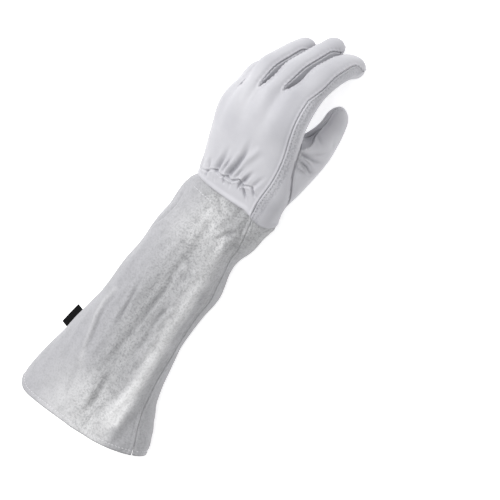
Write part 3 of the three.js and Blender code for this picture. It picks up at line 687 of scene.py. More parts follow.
thread = {"colour": (0.66, 0.66, 0.68, 1), "roughness": 0.7}
tape = {"colour": (0.004, 0.004, 0.0045, 1), "roughness": 0.9, "weave": 900}
plain = {"specular": 0.15, "weaveWander": 0.4, "weaveDepth": 0.0003, "weaveBump": 0.8,
         "weaveFrom": (0.3, 0.9), "weaveLight": 2.2}


def plainMatter(name, colour, roughness, weave=0, glow=0):
    # one colour, lighter on the threads of a diagonal weave, or shining by itself as glow says
    recipe = Recipe(name)
    values = {"Base_Color": colour, "Roughness": roughness, "Specular_IOR_Level": plain["specular"]}
    if glow:
        values.update(Emission_Color=colour, Emission_Strength=glow)
    if weave:
        threads = recipe.node(
            "ShaderNodeTexWave", {"wave_type": "BANDS", "bands_direction": "DIAGONAL"},
            {"Vector": recipe.place(), "Scale": weave, "Distortion": plain["weaveWander"]})
        lighter = tuple(min(1, plain["weaveLight"] * level) for level in colour[:3]) + (1,)
        values["Normal"] = recipe.bump(threads, plain["weaveDepth"], plain["weaveBump"])
        values["Base_Color"] = recipe.blend(recipe.smooth(threads, *plain["weaveFrom"]), colour, lighter)
    return recipe.feed(**values)


leatherPlain = grainLeather("grain leather")
leatherPunched = grainLeather("grain leather with needle holes", punched=True)
suedeMatter = splitSuede("split suede")
threadMatter = plainMatter("sewing thread", **thread)
tabMatter = plainMatter("woven tape", **tape)
print("materials made")


# The hand
grid = {
    "rowStep": 0.9, "wristStep": 0.6, "wristEnd": 60, "sharedEnd": 112, "tipRows": 16,
    "back": (30, 0.11), "front": (26, 0.1), "web": (14, 0.08), "thumb": (66, 0.1),
}


def eased(count, pull):
    # shares from 0 to 1, closer together at both ends: t - pull * sin(2 pi t)
    t = np.linspace(0, 1, count + 1)
    return t - pull * np.sin(2 * np.pi * t)


def crotchesOf(index):
    # lowest and highest station of the crotches beside a finger
    found = [borders[i]["crotch"] for i in (index, index + 1) if borders[i]["crotch"]]
    return min(found), max(found)


def fingerRows(index):
    # rows of a finger's strip: shared by the neighbours up to their crotch, then its own
    finger = fingers[index]
    last = crotchesOf(index)[1]
    crotches = [border["crotch"] for border in borders[1:4]]
    shared = np.unique(np.concatenate([
        np.linspace(0, grid["wristEnd"], int(grid["wristEnd"] / grid["wristStep"]) + 1),
        np.arange(grid["wristEnd"], grid["sharedEnd"], grid["rowStep"]), crotches]))
    shared = shared[shared <= last]
    capStart = finger["tip"] - fingerForm["capLength"]
    own = np.linspace(last, capStart, int((capStart - last) / grid["rowStep"]) + 1)[1:]
    t = np.linspace(0, 1, grid["tipRows"] + 1)[1:]
    cap = capStart + fingerForm["capLength"] * (1 - (1 - t) ** 2)
    return np.concatenate([shared, own, cap])


def runLength(points, axis):
    # distance walked along an axis of a grid of points
    steps = np.linalg.norm(np.diff(points, axis=axis), axis=-1)
    first = np.zeros_like(np.take(steps, [0], axis=axis))
    return np.concatenate([first, np.cumsum(steps, axis=axis)], axis=axis)


def sheetPatch(pointsAt, wall):
    # outer and inner points, and distances from the first and last column and the first row
    outer = pointsAt(0.0)
    left = runLength(outer, 1)
    return {"outer": outer, "inner": pointsAt(wall)}, left, left[:, -1:] - left, runLength(outer, 0)


def stripPatch(index, side, rows, columns, seamLeft=None, seamRight=None):
    # rows and columns may be grids. seamLeft and seamRight give the station from which that
    # side is a seam: 0 for the whole length, None for never
    row, across = np.broadcast_arrays(rows if np.ndim(rows) == 2 else rows[:, None], columns)
    x, y = stripPoints(index, side, row, across, 0.0)[1:]
    patch, left, right, run = sheetPatch(
        lambda inset: stripPoints(index, side, row, across, inset)[0], palm["wall"])
    edge = np.full(row.shape, far["edge"])
    for distance, begins in ((left, seamLeft), (right, seamRight)):
        if begins is not None:
            edge = np.minimum(edge, np.hypot(distance, np.maximum(0, begins - y)))
    patch["row"] = row
    patch["data"] = {"x": x, "y": y, "edge": edge, "seam": edge, "run": run[:, :1] + 0 * run,
                     "finger": np.full(row.shape, index)}
    return patch


# Gathers over the wrist, as paths of (place across, station) on the back of the hand
gathers = creaseTable([
    (2.3, 2.1, 0.15, [(-14, 25), (-9, 41), (-5, 56)]),
    (3.2, 2.3, 0.15, [(0, 27), (5, 38), (9, 49), (13, 74)]),
    (2.2, 1.8, 0.2, [(15, 25), (19, 33), (25, 44)]),
    (1.5, 1.8, 0.3, [(-23, 17), (-23.5, 28), (-21, 38)]),
    (1.2, 1.8, 0.3, [(-33, 16), (-33, 24), (-31, 33)]),
    (1.2, 1.6, 0.2, [(26, 26), (30, 34), (35, 43)]),
    (1.26, 1.1, 0.3, [(-6, 29), (-3, 38), (0, 46)]),
    (1.26, 1.02, 0.3, [(8, 28), (11, 35), (15, 42)]),
    (-1.3, 2.6, 0.5, [(12, 43), (18, 55), (23, 66)]),
    (2.24, 0.85, 0.4, [(-5, 25), (-2.5, 21), (-1, 17)]),
    (2.38, 0.85, 0.4, [(13, 28), (14, 23), (14, 18)]),
    (2.66, 0.94, 0.4, [(17, 25), (22, 18), (26, 12)]),
    (2.1, 0.85, 0.4, [(26, 26), (29, 22), (31.5, 18)]),
    (1.54, 0.85, 0.4, [(-15, 25), (-13, 20), (-12, 15)]),
    (1.4, 0.85, 0.4, [(4, 26), (5, 20), (5, 15)]),
    (1.26, 0.85, 0.4, [(-24, 21), (-24, 16), (-23, 12)]),
    (0.98, 0.85, 0.4, [(-32, 20), (-32, 16), (-31, 12)]),
], "depth half peak path", lip=0.3)
elasticLine = creaseTable([
    (1.7, 0.95, 0.6, 0.35, [(-38, 17), (-24, 20), (-19, 24), (-13, 25.7), (-7, 23.5), (-1, 25.3),
     (5, 24), (13, 28.3), (16, 24.4), (21, 26), (26, 26.6), (31, 20), (36, 18)]),
])
# Here and in the other reliefs a pair holds where a smooth step starts and ends
backForm = {
    "end": [96, 80], "pucker": 0.35, "puckerHalf": 3, "puckerStep": 4.6, "puckerGrows": [80, 110],
    "darkAt": 2.7, "darkPower": 1.3, "farShade": 0.33, "farShare": 0.75, "farFrom": [98, 128],
    "indexFrom": [50, 80], "indexSide": [14, 30],
}


def backRelief(data):
    # gathers, lip and puff at the wrist, and a wave of puckers beside the fingers' seams; the
    # shade follows the folds' depth and darkens the index finger and the fingers' far ends
    x, y, edge = data["x"], data["y"], data["edge"]
    onBack = ramp(*backForm["end"], y)
    folds = creaseHeight(x, y, gathers) * onBack
    elastic = creaseHeight(x, y, elasticLine) * onBack
    fromWrist = y - wristStation(x)
    wave = np.sin(data["run"] * 2 * np.pi / backForm["puckerStep"])
    pucker = (backForm["pucker"] * bell(edge, backForm["puckerHalf"]) * wave
              * ramp(*backForm["puckerGrows"], y))
    height = (folds + elastic + beads(fromWrist, "backLip") + beads(fromWrist, "puff") * onBack
              + beads(edge, "seam") + pucker)
    shade = np.clip(-(folds + elastic) / backForm["darkAt"], 0, 1) ** backForm["darkPower"]
    overIndex = ramp(*backForm["indexFrom"], y) * ramp(*backForm["indexSide"], x)
    farEnds = backForm["farShare"] * ramp(*backForm["farFrom"], y)
    return height, shade + backForm["farShade"] * np.maximum(overIndex, farEnds)


def backPatches():
    # the four fingers' strips of the back panel
    columns = eased(*grid["back"])
    patches = []
    for index in range(4):
        left = 0 if index == 0 else borders[index]["crotch"]
        right = 0 if index == 3 else borders[index + 1]["crotch"]
        patches.append(stripPatch(index, "back", fingerRows(index), columns, left, right))
    return patches


sheetObject("handBack", backPatches(), backRelief, leatherPlain, ["back_panel"])

thumb = {
    "oval": {"angle": -48, "y": 48, "halfAngle": 48, "halfLength": 41.5, "clearance": 0.995,
             "reach": 110, "radius": 34},
    "sections": {
        "s": [0, 0.3, 0.65, 1],
        "x": [33.5, 35.4, 35, 31],
        "y": [291, 314, 337, 361.2],
        "z": [43, 28, 15.2, 10.8],
        "half": [31, 20, 13.2, 8.9],
        "high": [23, 17.3, 12.2, 9.8],
        "roll": [45, 42, 38, 38],
    },
    "length": 78, "seam": 72, "capStart": 0.81, "blend": 0.38, "slopeStep": 0.02,
    "rows": 150, "frontTrim": 0.3,
}


def baseSeam(index, across):
    # the fronts of the middle and ring fingers start on a line from crotch to crotch
    return mix(borders[index]["crotch"], borders[index + 1]["crotch"], across)


def onOval(x, y, inset):
    # the point of the palm's surface on the thumb's oval, in the direction of x and y: the
    # oval's middle plus its half sizes times x and y over their length
    oval = thumb["oval"]
    length = np.maximum(np.hypot(x, y), 1e-6)
    angle = degree * (oval["angle"] + oval["halfAngle"] * x / length)
    station = oval["y"] + oval["halfLength"] * y / length
    palmX, palmZ = palmSurface(angle, station, inset)
    return placeOnHand(0, palmX, station, palmZ, palmX)


def cornerMean(values):
    # mean of a grid's four corners at each cell
    return (values[:-1, :-1] + values[1:, :-1] + values[1:, 1:] + values[:-1, 1:]) / 4


palmStrips = [
    {"finger": 0, "side": "radial", "columns": eased(26, 0.1), "seams": (0, None)},
    {"finger": 0, "side": "front", "columns": eased(26, 0), "seams": (None, borders[1]["crotch"])},
    {"finger": 1, "side": "front", "columns": eased(24, 0), "seams": (None, None)},
    {"finger": 2, "side": "front", "columns": eased(24, 0), "seams": (None, None)},
    {"finger": 3, "side": "front", "columns": eased(24, 0), "seams": (borders[3]["crotch"], None)},
    {"finger": 3, "side": "ulnar", "columns": eased(12, 0.05)[::-1], "seams": (None, 0)},
]


def palmPatches():
    # six strips side by side, with the thumb's oval left open: a cell is open where the mean
    # of its corners' offsets from the oval's middle, in half widths, is shorter than 1
    patches = []
    oval = thumb["oval"]
    for strip in palmStrips:
        index, side, columns = strip["finger"], strip["side"], strip["columns"]
        rows = fingerRows(index)
        if index in (1, 2):
            first, last = crotchesOf(index)
            rows = rows[rows <= last][:, None] + 0 * columns
            rows = np.where(rows > first, np.minimum(rows, baseSeam(index, columns)), rows)
        patch = stripPatch(index, side, rows, columns, *strip["seams"])
        row = patch["row"]
        start, end = borderAngle(index, row), borderAngle(index + 1, row)
        low = seams["low"] * degree
        if side == "ulnar":
            offsetX = offsetY = np.full(row.shape, far["oval"])
        else:
            first, last = (start, low) if side == "radial" else (-start if index > 0 else low, -end)
            angle = mix(first, last, columns)
            reach = row <= oval["reach"]
            offsetX = np.where(reach, (angle / degree - oval["angle"]) / oval["halfAngle"], far["oval"])
            offsetY = np.where(reach, (rowStation(angle, row) - oval["y"]) / oval["halfLength"],
                               far["oval"])
        patch["open"] = np.hypot(cornerMean(offsetX), cornerMean(offsetY)) < 1
        patch["offset"] = (offsetX, offsetY)
        if side != "radial":
            patch["data"]["seam"] = patch["data"]["seam"] + far["seam"]
        patches.append(patch)

    # points that an open cell touches move onto the oval; a border's two columns agree
    touched = [cornerMean(np.pad(patch["open"] * 1.0, 1)) > 0 for patch in patches]
    for left, right in zip(touched[:4], touched[1:5]):
        shared = min(len(left), len(right))
        left[:shared, -1] |= right[:shared, 0]
        right[:shared, 0] = left[:shared, -1]
    for patch, mask in zip(patches, touched):
        offsetX, offsetY = patch["offset"]
        for key, inset in (("outer", 0.0), ("inner", palm["wall"])):
            moved = onOval(offsetX, offsetY, inset)
            patch[key] = np.where(mask[..., None], moved, patch[key])
        away = np.abs(np.hypot(offsetX, offsetY) - 1) * oval["radius"]
        patch["data"]["edge"] = np.minimum(patch["data"]["edge"], np.where(mask, 0, away))
        patch["data"]["oval"] = np.where(mask, 0, away)
    return patches


palmForm = {
    "seen": 40, "darker": 0.4, "darkLow": [34, 12], "darkHigh": [95, 125],
    "keystone": [0.15, 0.7], "keystoneFrom": [54, 42], "keystoneHalf": 0.9,
}


def palmRelief(data):
    # lip at the wrist, ridge and groove beside the seam; painted shade darkens both ends of the strip that
    # shows beside the thumb, and the line along the thumb's seam
    y = data["y"]
    isIndex = data["finger"] == 0
    beside = np.minimum(data["edge"], data["seam"])
    height = (beads(y - wristStation(data["x"]), "palmLip") + beads(beside, "strip")
              + beads(beside, "stripGroove") * isIndex)
    ends = ramp(*palmForm["darkLow"], y) + ramp(*palmForm["darkHigh"], y)
    darker = palmForm["darker"] * (isIndex & (data["seam"] < palmForm["seen"])) * ends
    keystone = mix(*palmForm["keystone"], ramp(*palmForm["keystoneFrom"], y))
    return height, keystone * bell(data["oval"], palmForm["keystoneHalf"]) + darker


sheetObject("handPalm", palmPatches(), palmRelief, leatherPunched, ["palm_panel"])


seamForm = {"share": 0.8, "shade": 0.5, "shadeHalf": 0.5}
webTrim = {"end": 1, "least": 0.01, "most": 0.4}


def plainRelief(data):
    # the seam's ridge, and a dark line of painted shade along it
    return (beads(data["edge"], "seam") * seamForm["share"],
            seamForm["shade"] * bell(data["edge"], seamForm["shadeHalf"]))


# Fronts of the middle and ring fingers, and the strips between the fingers
for frontName, node, index in (("middleFront", "middle_front", 1), ("ringFront", "ring_front", 2)):
    first = crotchesOf(index)[0]
    columns = eased(*grid["front"])
    rows = fingerRows(index)
    rows = np.concatenate([[first], rows[rows > first]])[:, None]
    notch = parting["notch"] * (2 * columns - 1) ** parting["notchPower"]
    seamEdge = baseSeam(index, columns) + seams["gap"] + notch
    patch = stripPatch(index, "front", np.maximum(rows, seamEdge), columns, 0, 0)
    sheetObject(frontName, [patch], plainRelief, leatherPlain, [node])

for webName, node, index in (("indexMiddleStrip", "fourchette_index_middle", 0),
                             ("middleRingStrip", "fourchette_middle_ring", 1),
                             ("ringLittleStrip", "fourchette_ring_little", 2)):
    patches = []
    for beside, side in ((index, "ulnar"), (index + 1, "radial")):
        finger = fingers[beside]
        rows = fingerRows(beside)
        stop = finger["tip"] - fingerForm["capLength"] - webTrim["end"]
        rows = rows[(rows >= borders[index + 1]["crotch"]) & (rows <= stop)][:, None]
        width = (fingers[index]["high"] * (seams["thumbSide"] - seams["low"]) * degree
                 * (1 - closingShare(finger, rows)))
        trim = np.minimum(seams["fourchetteGap"] / np.maximum(width, webTrim["least"]), webTrim["most"])
        patches.append(stripPatch(beside, side, rows, mix(trim, 1 - trim, eased(*grid["web"])), 0, 0))
    sheetObject(webName, patches, plainRelief, leatherPlain, [node])


# Thumb
def thumbPoints(angle, share, inset, isFront):
    # mixes the oval on the palm with an ellipse (half times cosine, high times sine) that is
    # carried along the thumb's curved centre line and rolled about it
    oval, sections = thumb["oval"], thumb["sections"]
    palmAngle = (oval["angle"] + oval["clearance"] * oval["halfAngle"] * np.cos(angle)) * degree
    palmY = oval["y"] + oval["clearance"] * oval["halfLength"] * np.sin(angle)
    palmX, palmZ = palmSurface(palmAngle, palmY, inset)
    base = placeOnHand(0, palmX, palmY, palmZ, palmX)
    at = share * (1 - inset / thumb["length"])

    def centreAt(v):
        # the centre line, a curve through the table's places
        return np.stack([along(sections, key, v) for key in "xyz"], -1)

    step = thumb["slopeStep"]
    tangent = unit(centreAt(np.minimum(at + step, 1)) - centreAt(np.maximum(at - step, 0)))
    level = unit(np.cross(tangent, [0, 0, 1.0]))
    upward = np.cross(level, tangent)
    roll = (along(sections, "roll", at) * degree)[..., None]
    sideAxis = level * np.cos(roll) + upward * np.sin(roll)
    highAxis = upward * np.cos(roll) - level * np.sin(roll)
    closing = np.clip((share - thumb["capStart"]) / (1 - thumb["capStart"]), 0, 1)
    cap = np.sqrt(np.clip(1 - closing ** fingerForm["capSquareness"], 0, 1))
    sectionX = (along(sections, "half", at) - inset) * cap * np.cos(angle)
    sectionY = (along(sections, "high", at) - inset) * cap * np.sin(angle)
    if isFront:
        turn = (thumb["seam"] + 90) * degree
        reach = sectionX * np.cos(turn) + sectionY * np.sin(turn)
        push = np.maximum(0, seams["gap"] - reach)
        sectionX, sectionY = sectionX + push * np.cos(turn), sectionY + push * np.sin(turn)
    point = centreAt(at) + sideAxis * sectionX[..., None] + highAxis * sectionY[..., None]
    return mix(base, point, ramp(0, thumb["blend"], share)[..., None])


# Creases over the thumb's root, as paths of (angle round it, millimetres along it)
thumbCreases = creaseTable([
    (1.6, 0.8, 0.2, 0.3, 1, [(36, 8), (47, 17), (62, 25), (72, 39), (81, 52), (90, 61)]),
    (2.9, 1.3, 0.2, 0.25, 0.6, [(28, 0), (21, 7), (9, 17), (-7, 28), (-24, 40)]),
    (2.6, 1.1, 0.25, 0.4, 0.6, [(20, 0), (11, 7), (0, 14), (-14, 20), (-34, 33)]),
    (1.8, 1.3, 0.2, 0.2, 1, [(28, 4), (19, 14), (3, 31), (-16, 52)]),
    (0.7, 1.8, 0.2, 0.2, 1, [(57, 26), (34, 25), (14, 33)]),
    (1.6, 1.1, 0.25, 0.3, 1, [(11, 0), (1, 7), (-9, 14), (-26, 26)]),
    (0.6, 2.4, 0.5, 0.3, 1, [(0, 48), (-16, 58)]),
], "depth half peak lip tail path")
thumbForm = {
    "degree": 0.4, "ridgeShare": 0.8, "webRun": [0, 12, 25, 39, 52, 61],
    "webAngle": [28, 38, 60, 72, 81, 90], "webEdge": [0, 5], "webLength": [62, 20], "webEnd": [150, 105],
    "darkAt": 3.8, "seamShade": 0.45, "seamHalf": 0.6, "seamSide": [14, -4],
}


def thumbRelief(data):
    # creases on the thumb unrolled at so many millimetres to a degree; painted shade in them, along the
    # seam and on the web between the thumb and the palm
    scale, run = thumbForm["degree"], data["y"]
    scaled = [dict(crease, path=[(angle * scale, place) for angle, place in crease["path"]])
              for crease in thumbCreases]
    around = (data["x"] + 180) % 360 - 180
    creases = creaseHeight(around * scale, run, scaled)
    fromWeb = around - np.interp(run, thumbForm["webRun"], thumbForm["webAngle"])
    web = (ramp(*thumbForm["webEdge"], fromWeb) * ramp(*thumbForm["webLength"], run)
           * ramp(*thumbForm["webEnd"], around))
    seam = (thumbForm["seamShade"] * bell(data["edge"], thumbForm["seamHalf"])
            * ramp(*thumbForm["seamSide"], around))
    height = beads(data["edge"], "seam") * thumbForm["ridgeShare"] + creases
    return height, np.clip(-creases / thumbForm["darkAt"], 0, 1) + seam + web


for thumbName, node, start, isFront in (("thumbBack", "thumb_back", thumb["seam"] - 180, False),
                                        ("thumbFront", "thumb_front", thumb["seam"], True)):
    t = np.linspace(0, 1, thumb["rows"] + 1)
    shares = np.where(t < thumb["capStart"], t, 1 - (1 - t) ** 2 / (1 - thumb["capStart"]))
    shares = np.unique(np.clip(shares, 0, 1))[:, None]
    trim = thumb["frontTrim"] if isFront else 0
    angles = mix(start + trim, start + 180 - trim, eased(*grid["thumb"]))
    share, angle = np.broadcast_arrays(shares, angles * degree)
    patch, left, right, run = sheetPatch(
        lambda inset: thumbPoints(angle, share, inset, isFront), palm["wall"])
    edge = np.minimum(np.minimum(left, right), run)
    patch["data"] = {"x": angle / degree, "y": run, "edge": edge, "seam": edge,
                     "run": run[:, :1] + 0 * run}
    sheetObject(thumbName, [patch], thumbRelief, leatherPlain, [node])


# Cuff
cuff = {
    "sections": {
        "u": [0, 20, 45, 62, 84, 110, 145, 160, 180, 204, 238, 268],
        "centre": [0, -5, -10, -11.5, -9.9, -12.8, -15.1, -15.9, -16.1, -15.5, -11, -9.2],
        "half": [44, 43, 42, 42.5, 45.1, 46.2, 46.3, 49.3, 52.8, 58.2, 70, 74.8],
        "top": [60, 60, 60, 60, 59, 57, 54, 53, 51, 50, 48, 46],
        "seam": [48, 37, 20, 9.5, 14, 11, 6, 6, 13.5, 18.5, 29, 25],
    },
    "level": 17, "across": 2.6, "above": 2.3, "below": 3.2, "blend": 55, "drop": 1.5,
    "puff": {"u": 22, "half": 18, "start": 10, "littleSide": 10.5, "thumbSide": -6},
    "opening": {"middle": 261, "slant": 0.145, "bulge": 4, "half": 72, "corner": 7,
                "cornerWidth": 0.16},
    "columns": {"seam": 30, "follow": 60},
    "slit": {"from": 244, "to": 262, "angle": 1.3, "width": 0.1},
    "wall": 1.8, "rows": 210, "backColumns": 130, "palmColumns": 120, "palmTrim": 0.12,
    "start": 0.1, "rowPull": 0.06, "columnPull": 0.06,
}
folds = {
    "lines": {
        "u": [20, 65, 107, 145, 190, 262],
        "ridge": [26, 27, 26, 28, 29, 31],
        "groove": [6, 4, -2, -5, -2, 8],
        "edgeRidge": [-45, -45, -45, -44, -40, -32],
    },
    "rows": [
        {"line": "ridge", "height": 3.2, "half": 9, "from": 35, "to": 240},
        {"line": "groove", "height": -3, "half": 9, "from": 5, "to": 262},
        {"line": "edgeRidge", "height": 2, "half": 6, "from": 85, "to": 215},
    ],
    "fade": 25,
}


def foldHeight(x, u):
    # sum of height * bell(distance from the fold's line, half), faded at both ends by smooth
    # steps
    height = 0 * x
    for fold in folds["rows"]:
        line = along(folds["lines"], fold["line"], u)
        reach = (ramp(fold["from"] - folds["fade"], fold["from"] + folds["fade"], u)
                 * ramp(fold["to"] + folds["fade"], fold["to"] - folds["fade"], u))
        height = height + fold["height"] * reach * bell(x - line, fold["half"])
    return height


def cuffPoints(angle, u, inset):
    # the wrist's ring drawn straight back, mixed by a smooth step with sections whose half
    # width times cosine and height times sine are taken to the powers of across, above and below
    sections, power = cuff["sections"], 2 / cuff["across"]
    start = rowStation(angle, 0 * u)
    ringX, ringZ = palmSurface(angle, start, inset)
    wrist = placeOnHand(0, ringX, start - u, ringZ, ringX)
    cosine, sine = np.cos(angle), np.sin(angle)
    half = along(sections, "half", u) - inset
    x = along(sections, "centre", u) + half * signedPower(cosine, power)
    high = along(sections, "top", u) - cuff["level"] - inset
    above = (cuff["level"] + high * signedPower(sine, 2 / cuff["above"])
             + foldHeight(x, u) * upperShare(sine))
    below = cuff["level"] + (cuff["level"] + cuff["drop"] - inset) * signedPower(sine, 2 / cuff["below"])
    section = np.stack([x, pose["place"][1] - u, np.where(sine > 0, above, below)], -1)
    points = mix(wrist, section, ramp(0, cuff["blend"], u)[..., None])
    puff = cuff["puff"]
    side = np.where(cosine < 0, puff["littleSide"], puff["thumbSide"])
    points[..., 0] += side * cosine * bell(u - puff["u"], puff["half"]) * ramp(0, puff["start"], u)
    points[..., 2] = np.maximum(points[..., 2], inset)
    return points


def openingStation(angle):
    # middle - slant * half * cosine + bulge * (1 - cosine squared), less a bell that rounds the
    # corner at the little finger side
    opening, x = cuff["opening"], np.cos(angle)
    return (opening["middle"] - opening["slant"] * opening["half"] * x + opening["bulge"] * (1 - x * x)
            - opening["corner"] * bell(1 + x, opening["cornerWidth"]))


def seamShift(u, fromSeam):
    # columns near the seam follow its wander: shift * smooth step of the distance from it
    shift = along(cuff["sections"], "seam", u) - cuff["columns"]["seam"]
    return shift * ramp(cuff["columns"]["follow"], 0, fromSeam)


def cuffAngles(isBack, across, u):
    # even angles between the two seams, moved with the seam and apart at the slit
    slit = cuff["slit"]
    seamAngle, little = cuff["columns"]["seam"], 180 - seams["littleSide"]
    opened = slit["angle"] * ramp(slit["from"], slit["to"], u)
    if isBack:
        even = mix(seamAngle, little, across)
        return even + seamShift(u, even - seamAngle) + opened * ramp(slit["width"], 0, across)
    trim = cuff["palmTrim"]
    even = mix(little + trim, 360 + seamAngle - trim, across)
    return (even + seamShift(u, 360 + seamAngle - trim - even)
            - opened * ramp(1 - slit["width"], 1, across))


# Small creases of the suede, as paths of (place across, distance from the wrist seam). The
# first is the long ridge's crest, and the tenth the ridge on the little finger side
cuffCreases = creaseTable([
    (-1.7, 4.2, 0.5, 0, [(20, 34), (22, 56), (25, 74), (25, 104), (23, 124), (24, 144), (27, 175),
     (28, 204), (29, 232)]),
    (1.7, 2.6, 0.5, 0.3, [(29, 66), (31, 94), (31, 112), (30, 130), (31, 150), (32, 172),
     (34, 190), (38, 210), (42, 228)]),
    (-1.2, 3.2, 0.5, 0, [(12, 92), (18, 114), (23, 139), (25, 156)]),
    (1.8, 2.4, 0.5, 0.3, [(1, 74), (1, 102), (-1, 117), (-3, 140), (-5, 160), (-5, 182)]),
    (1.1, 3, 0.5, 0.3, [(-3, 186), (-1, 204), (0, 224), (3, 242), (7, 254)]),
    (2.1, 1.8, 0.5, 0.3, [(-23, 104), (-22, 130), (-21, 150), (-21, 170)]),
    (1, 1.6, 0.5, 0.3, [(-15, 118), (-13, 136), (-14, 152)]),
    (1.2, 1.8, 0.4, 0.3, [(15, 109), (11, 124), (9, 150)]),
    (0.8, 1.7, 0.5, 0.3, [(6, 128), (4, 150), (6, 176)]),
    (-1.3, 2.2, 0.5, 0, [(-41, 130), (-44, 148), (-42, 160), (-39, 174), (-36, 190), (-31, 208)]),
    (1.2, 1.7, 0.5, 0.3, [(-37, 134), (-39, 150), (-38, 162), (-35, 176), (-32, 192), (-27, 208)]),
    (-1.5, 3.2, 0.7, 0, [(-1, 8), (8, 10), (16, 13), (24, 17)]),
    (1.9, 2.4, 0.15, 0.3, [(26, 22), (22, 27), (18, 33), (13, 42), (9, 52)]),
    (1.4, 1.9, 0.4, 0.3, [(-5, 2), (-2, 8), (3, 15), (11, 18)]),
    (0.9, 2, 0.4, 0.3, [(22, 34), (17, 44), (16, 56)]),
    (1.1, 1.5, 0.3, 0.3, [(-41, 20), (-39, 34), (-41, 50), (-47, 64), (-53, 80)]),
    (1.1, 2, 0.5, 0.3, [(7, 236), (5, 248), (9, 260)]),
    (0.7, 2.2, 0.5, 0.3, [(-30, 214), (-26, 232), (-24, 250)]),
])
buckles = {"seed": 7, "count": 14, "height": 0.16, "shortest": 9, "longest": 30, "turn": 1,
           "stretch": 2.6}


def buckleHeight(x, u):
    # a seeded sum of sine waves, longer along the cuff than across it
    chance = np.random.default_rng(buckles["seed"])
    height = 0 * x
    for _ in range(buckles["count"]):
        length = chance.uniform(buckles["shortest"], buckles["longest"])
        heading = chance.uniform(-buckles["turn"], buckles["turn"])
        phase = chance.uniform(0, 2 * np.pi)
        turns = (x * np.cos(heading) + u * np.sin(heading) / buckles["stretch"]) / length
        height = height + np.sin(2 * np.pi * turns + phase)
    return height * buckles["height"]


# Where the painted highlight lies and how strong it is; the suede is also worn smoother there
rubbed = {
    "crest": 0.95, "left": 8.5, "right": 4.2, "start": 0.55, "edge": 0.26, "edgeHalf": 2.6,
    "low": 0.7, "lowFrom": [180, 250], "lowLeft": [-75, 0], "lowRight": [40, 24],
    "patches": [
        {"share": 0.5, "x": 2, "u": 26, "wide": 13, "long": 26},
        {"share": 0.26, "x": -18, "u": 42, "wide": 17, "long": 26},
    ],
}


def wornHighlightAt(x, u):
    # a painted highlight, on suede also worn smoother: along the ridge's crest, wider on the little finger
    # side, along the ridge on the little finger side, in two patches near the wrist and over the lower
    # cuff
    ridge, farRidge = cuffCreases[0]["path"], cuffCreases[9]["path"]
    crest, share = lineDistance(x, u, ridge)
    line = np.interp(u, [point[1] for point in ridge], [point[0] for point in ridge])
    width = np.where(x < line, rubbed["left"], rubbed["right"])
    wornAndLit = (rubbed["crest"] * mix(rubbed["start"], 1, share) * bell(crest, width)
            + rubbed["edge"] * bell(lineDistance(x, u, farRidge)[0], rubbed["edgeHalf"]))
    for patch in rubbed["patches"]:
        away = np.hypot((x - patch["x"]) / patch["wide"], (u - patch["u"]) / patch["long"])
        wornAndLit = wornAndLit + patch["share"] * bell(away, 1)
    low = (rubbed["low"] * ramp(*rubbed["lowFrom"], u) * ramp(*rubbed["lowLeft"], x)
           * ramp(*rubbed["lowRight"], x))
    return np.clip(wornAndLit + low, 0, 1)


cuffForm = {
    "tuck": 0.9, "tuckFrom": [7, 1], "napFrom": [-48, 2], "napBelow": 0.5, "bumpLeast": 0.4,
    "bumpHem": [0, 12], "grooveHalf": 18, "wristFrom": [62, 5], "wristSide": [-30, 8],
    "nap": {"least": 0.12, "napped": 0.36, "groove": 0.5, "wrist": 0.7},
    "shade": {"at": 3.4, "most": 0.6, "wrist": 0.2, "wristFrom": [6, 1], "hem": 0.8, "hemHalf": 0.9,
              "edge": 0.12, "edgeHalf": 0.7},
}


def cuffRelief(data):
    # creases above, the tuck under the leather's lip, beads at the hem and the seam, and buckles; also how
    # rough the suede is, where a painted highlight lightens it and its nap is worn smoother, and where
    # painted shade darkens it
    x, u, edge, hem, upper = [data[key] for key in ("x", "y", "edge", "hem", "upper")]
    creases = creaseHeight(x, u, cuffCreases) * upper
    nearWrist = -cuffForm["tuck"] * ramp(*cuffForm["tuckFrom"], u)
    napped = ramp(*cuffForm["napFrom"], x) * upper + (1 - upper) * cuffForm["napBelow"]
    bumps = buckleHeight(x, u) * (cuffForm["bumpLeast"] + napped) * ramp(*cuffForm["bumpHem"], hem)
    height = creases + nearWrist + beads(hem, "hem") + beads(edge, "cuffSeam") + bumps
    groove = bell(x - along(folds["lines"], "groove", u), cuffForm["grooveHalf"]) * upper
    wristy = ramp(*cuffForm["wristFrom"], u) * ramp(*cuffForm["wristSide"], x)
    nap, dark = cuffForm["nap"], cuffForm["shade"]
    data["nap"] = np.clip(nap["least"] + nap["napped"] * napped + nap["groove"] * groove
                          + nap["wrist"] * wristy, nap["least"], 1)
    data["rub"] = upper * wornHighlightAt(x, u)
    shade = (np.clip(-creases / dark["at"], 0, dark["most"]) + dark["wrist"] * ramp(*dark["wristFrom"], u)
             + dark["hem"] * bell(hem, dark["hemHalf"]) + dark["edge"] * bell(edge, dark["edgeHalf"]))
    return height, shade


def cuffPatch(isBack):
    # rows from the wrist seam to the opening, closer at both ends, between the two seams
    columns = cuff["backColumns"] if isBack else cuff["palmColumns"]
    share = eased(cuff["rows"], cuff["rowPull"])[:, None]
    across = eased(columns, cuff["columnPull"])
    angle = cuffAngles(isBack, across, mix(cuff["start"], cuff["opening"]["middle"], share)) * degree
    u = mix(cuff["start"], openingStation(angle), share)
    patch, left, right, run = sheetPatch(lambda inset: cuffPoints(angle, u, inset), cuff["wall"])
    edge = np.minimum(left, right)
    patch["data"] = {"x": patch["outer"][..., 0], "y": u, "edge": edge, "seam": edge, "run": run,
                     "hem": run[-1:, :] - run, "upper": upperShare(np.sin(angle))}
    return patch


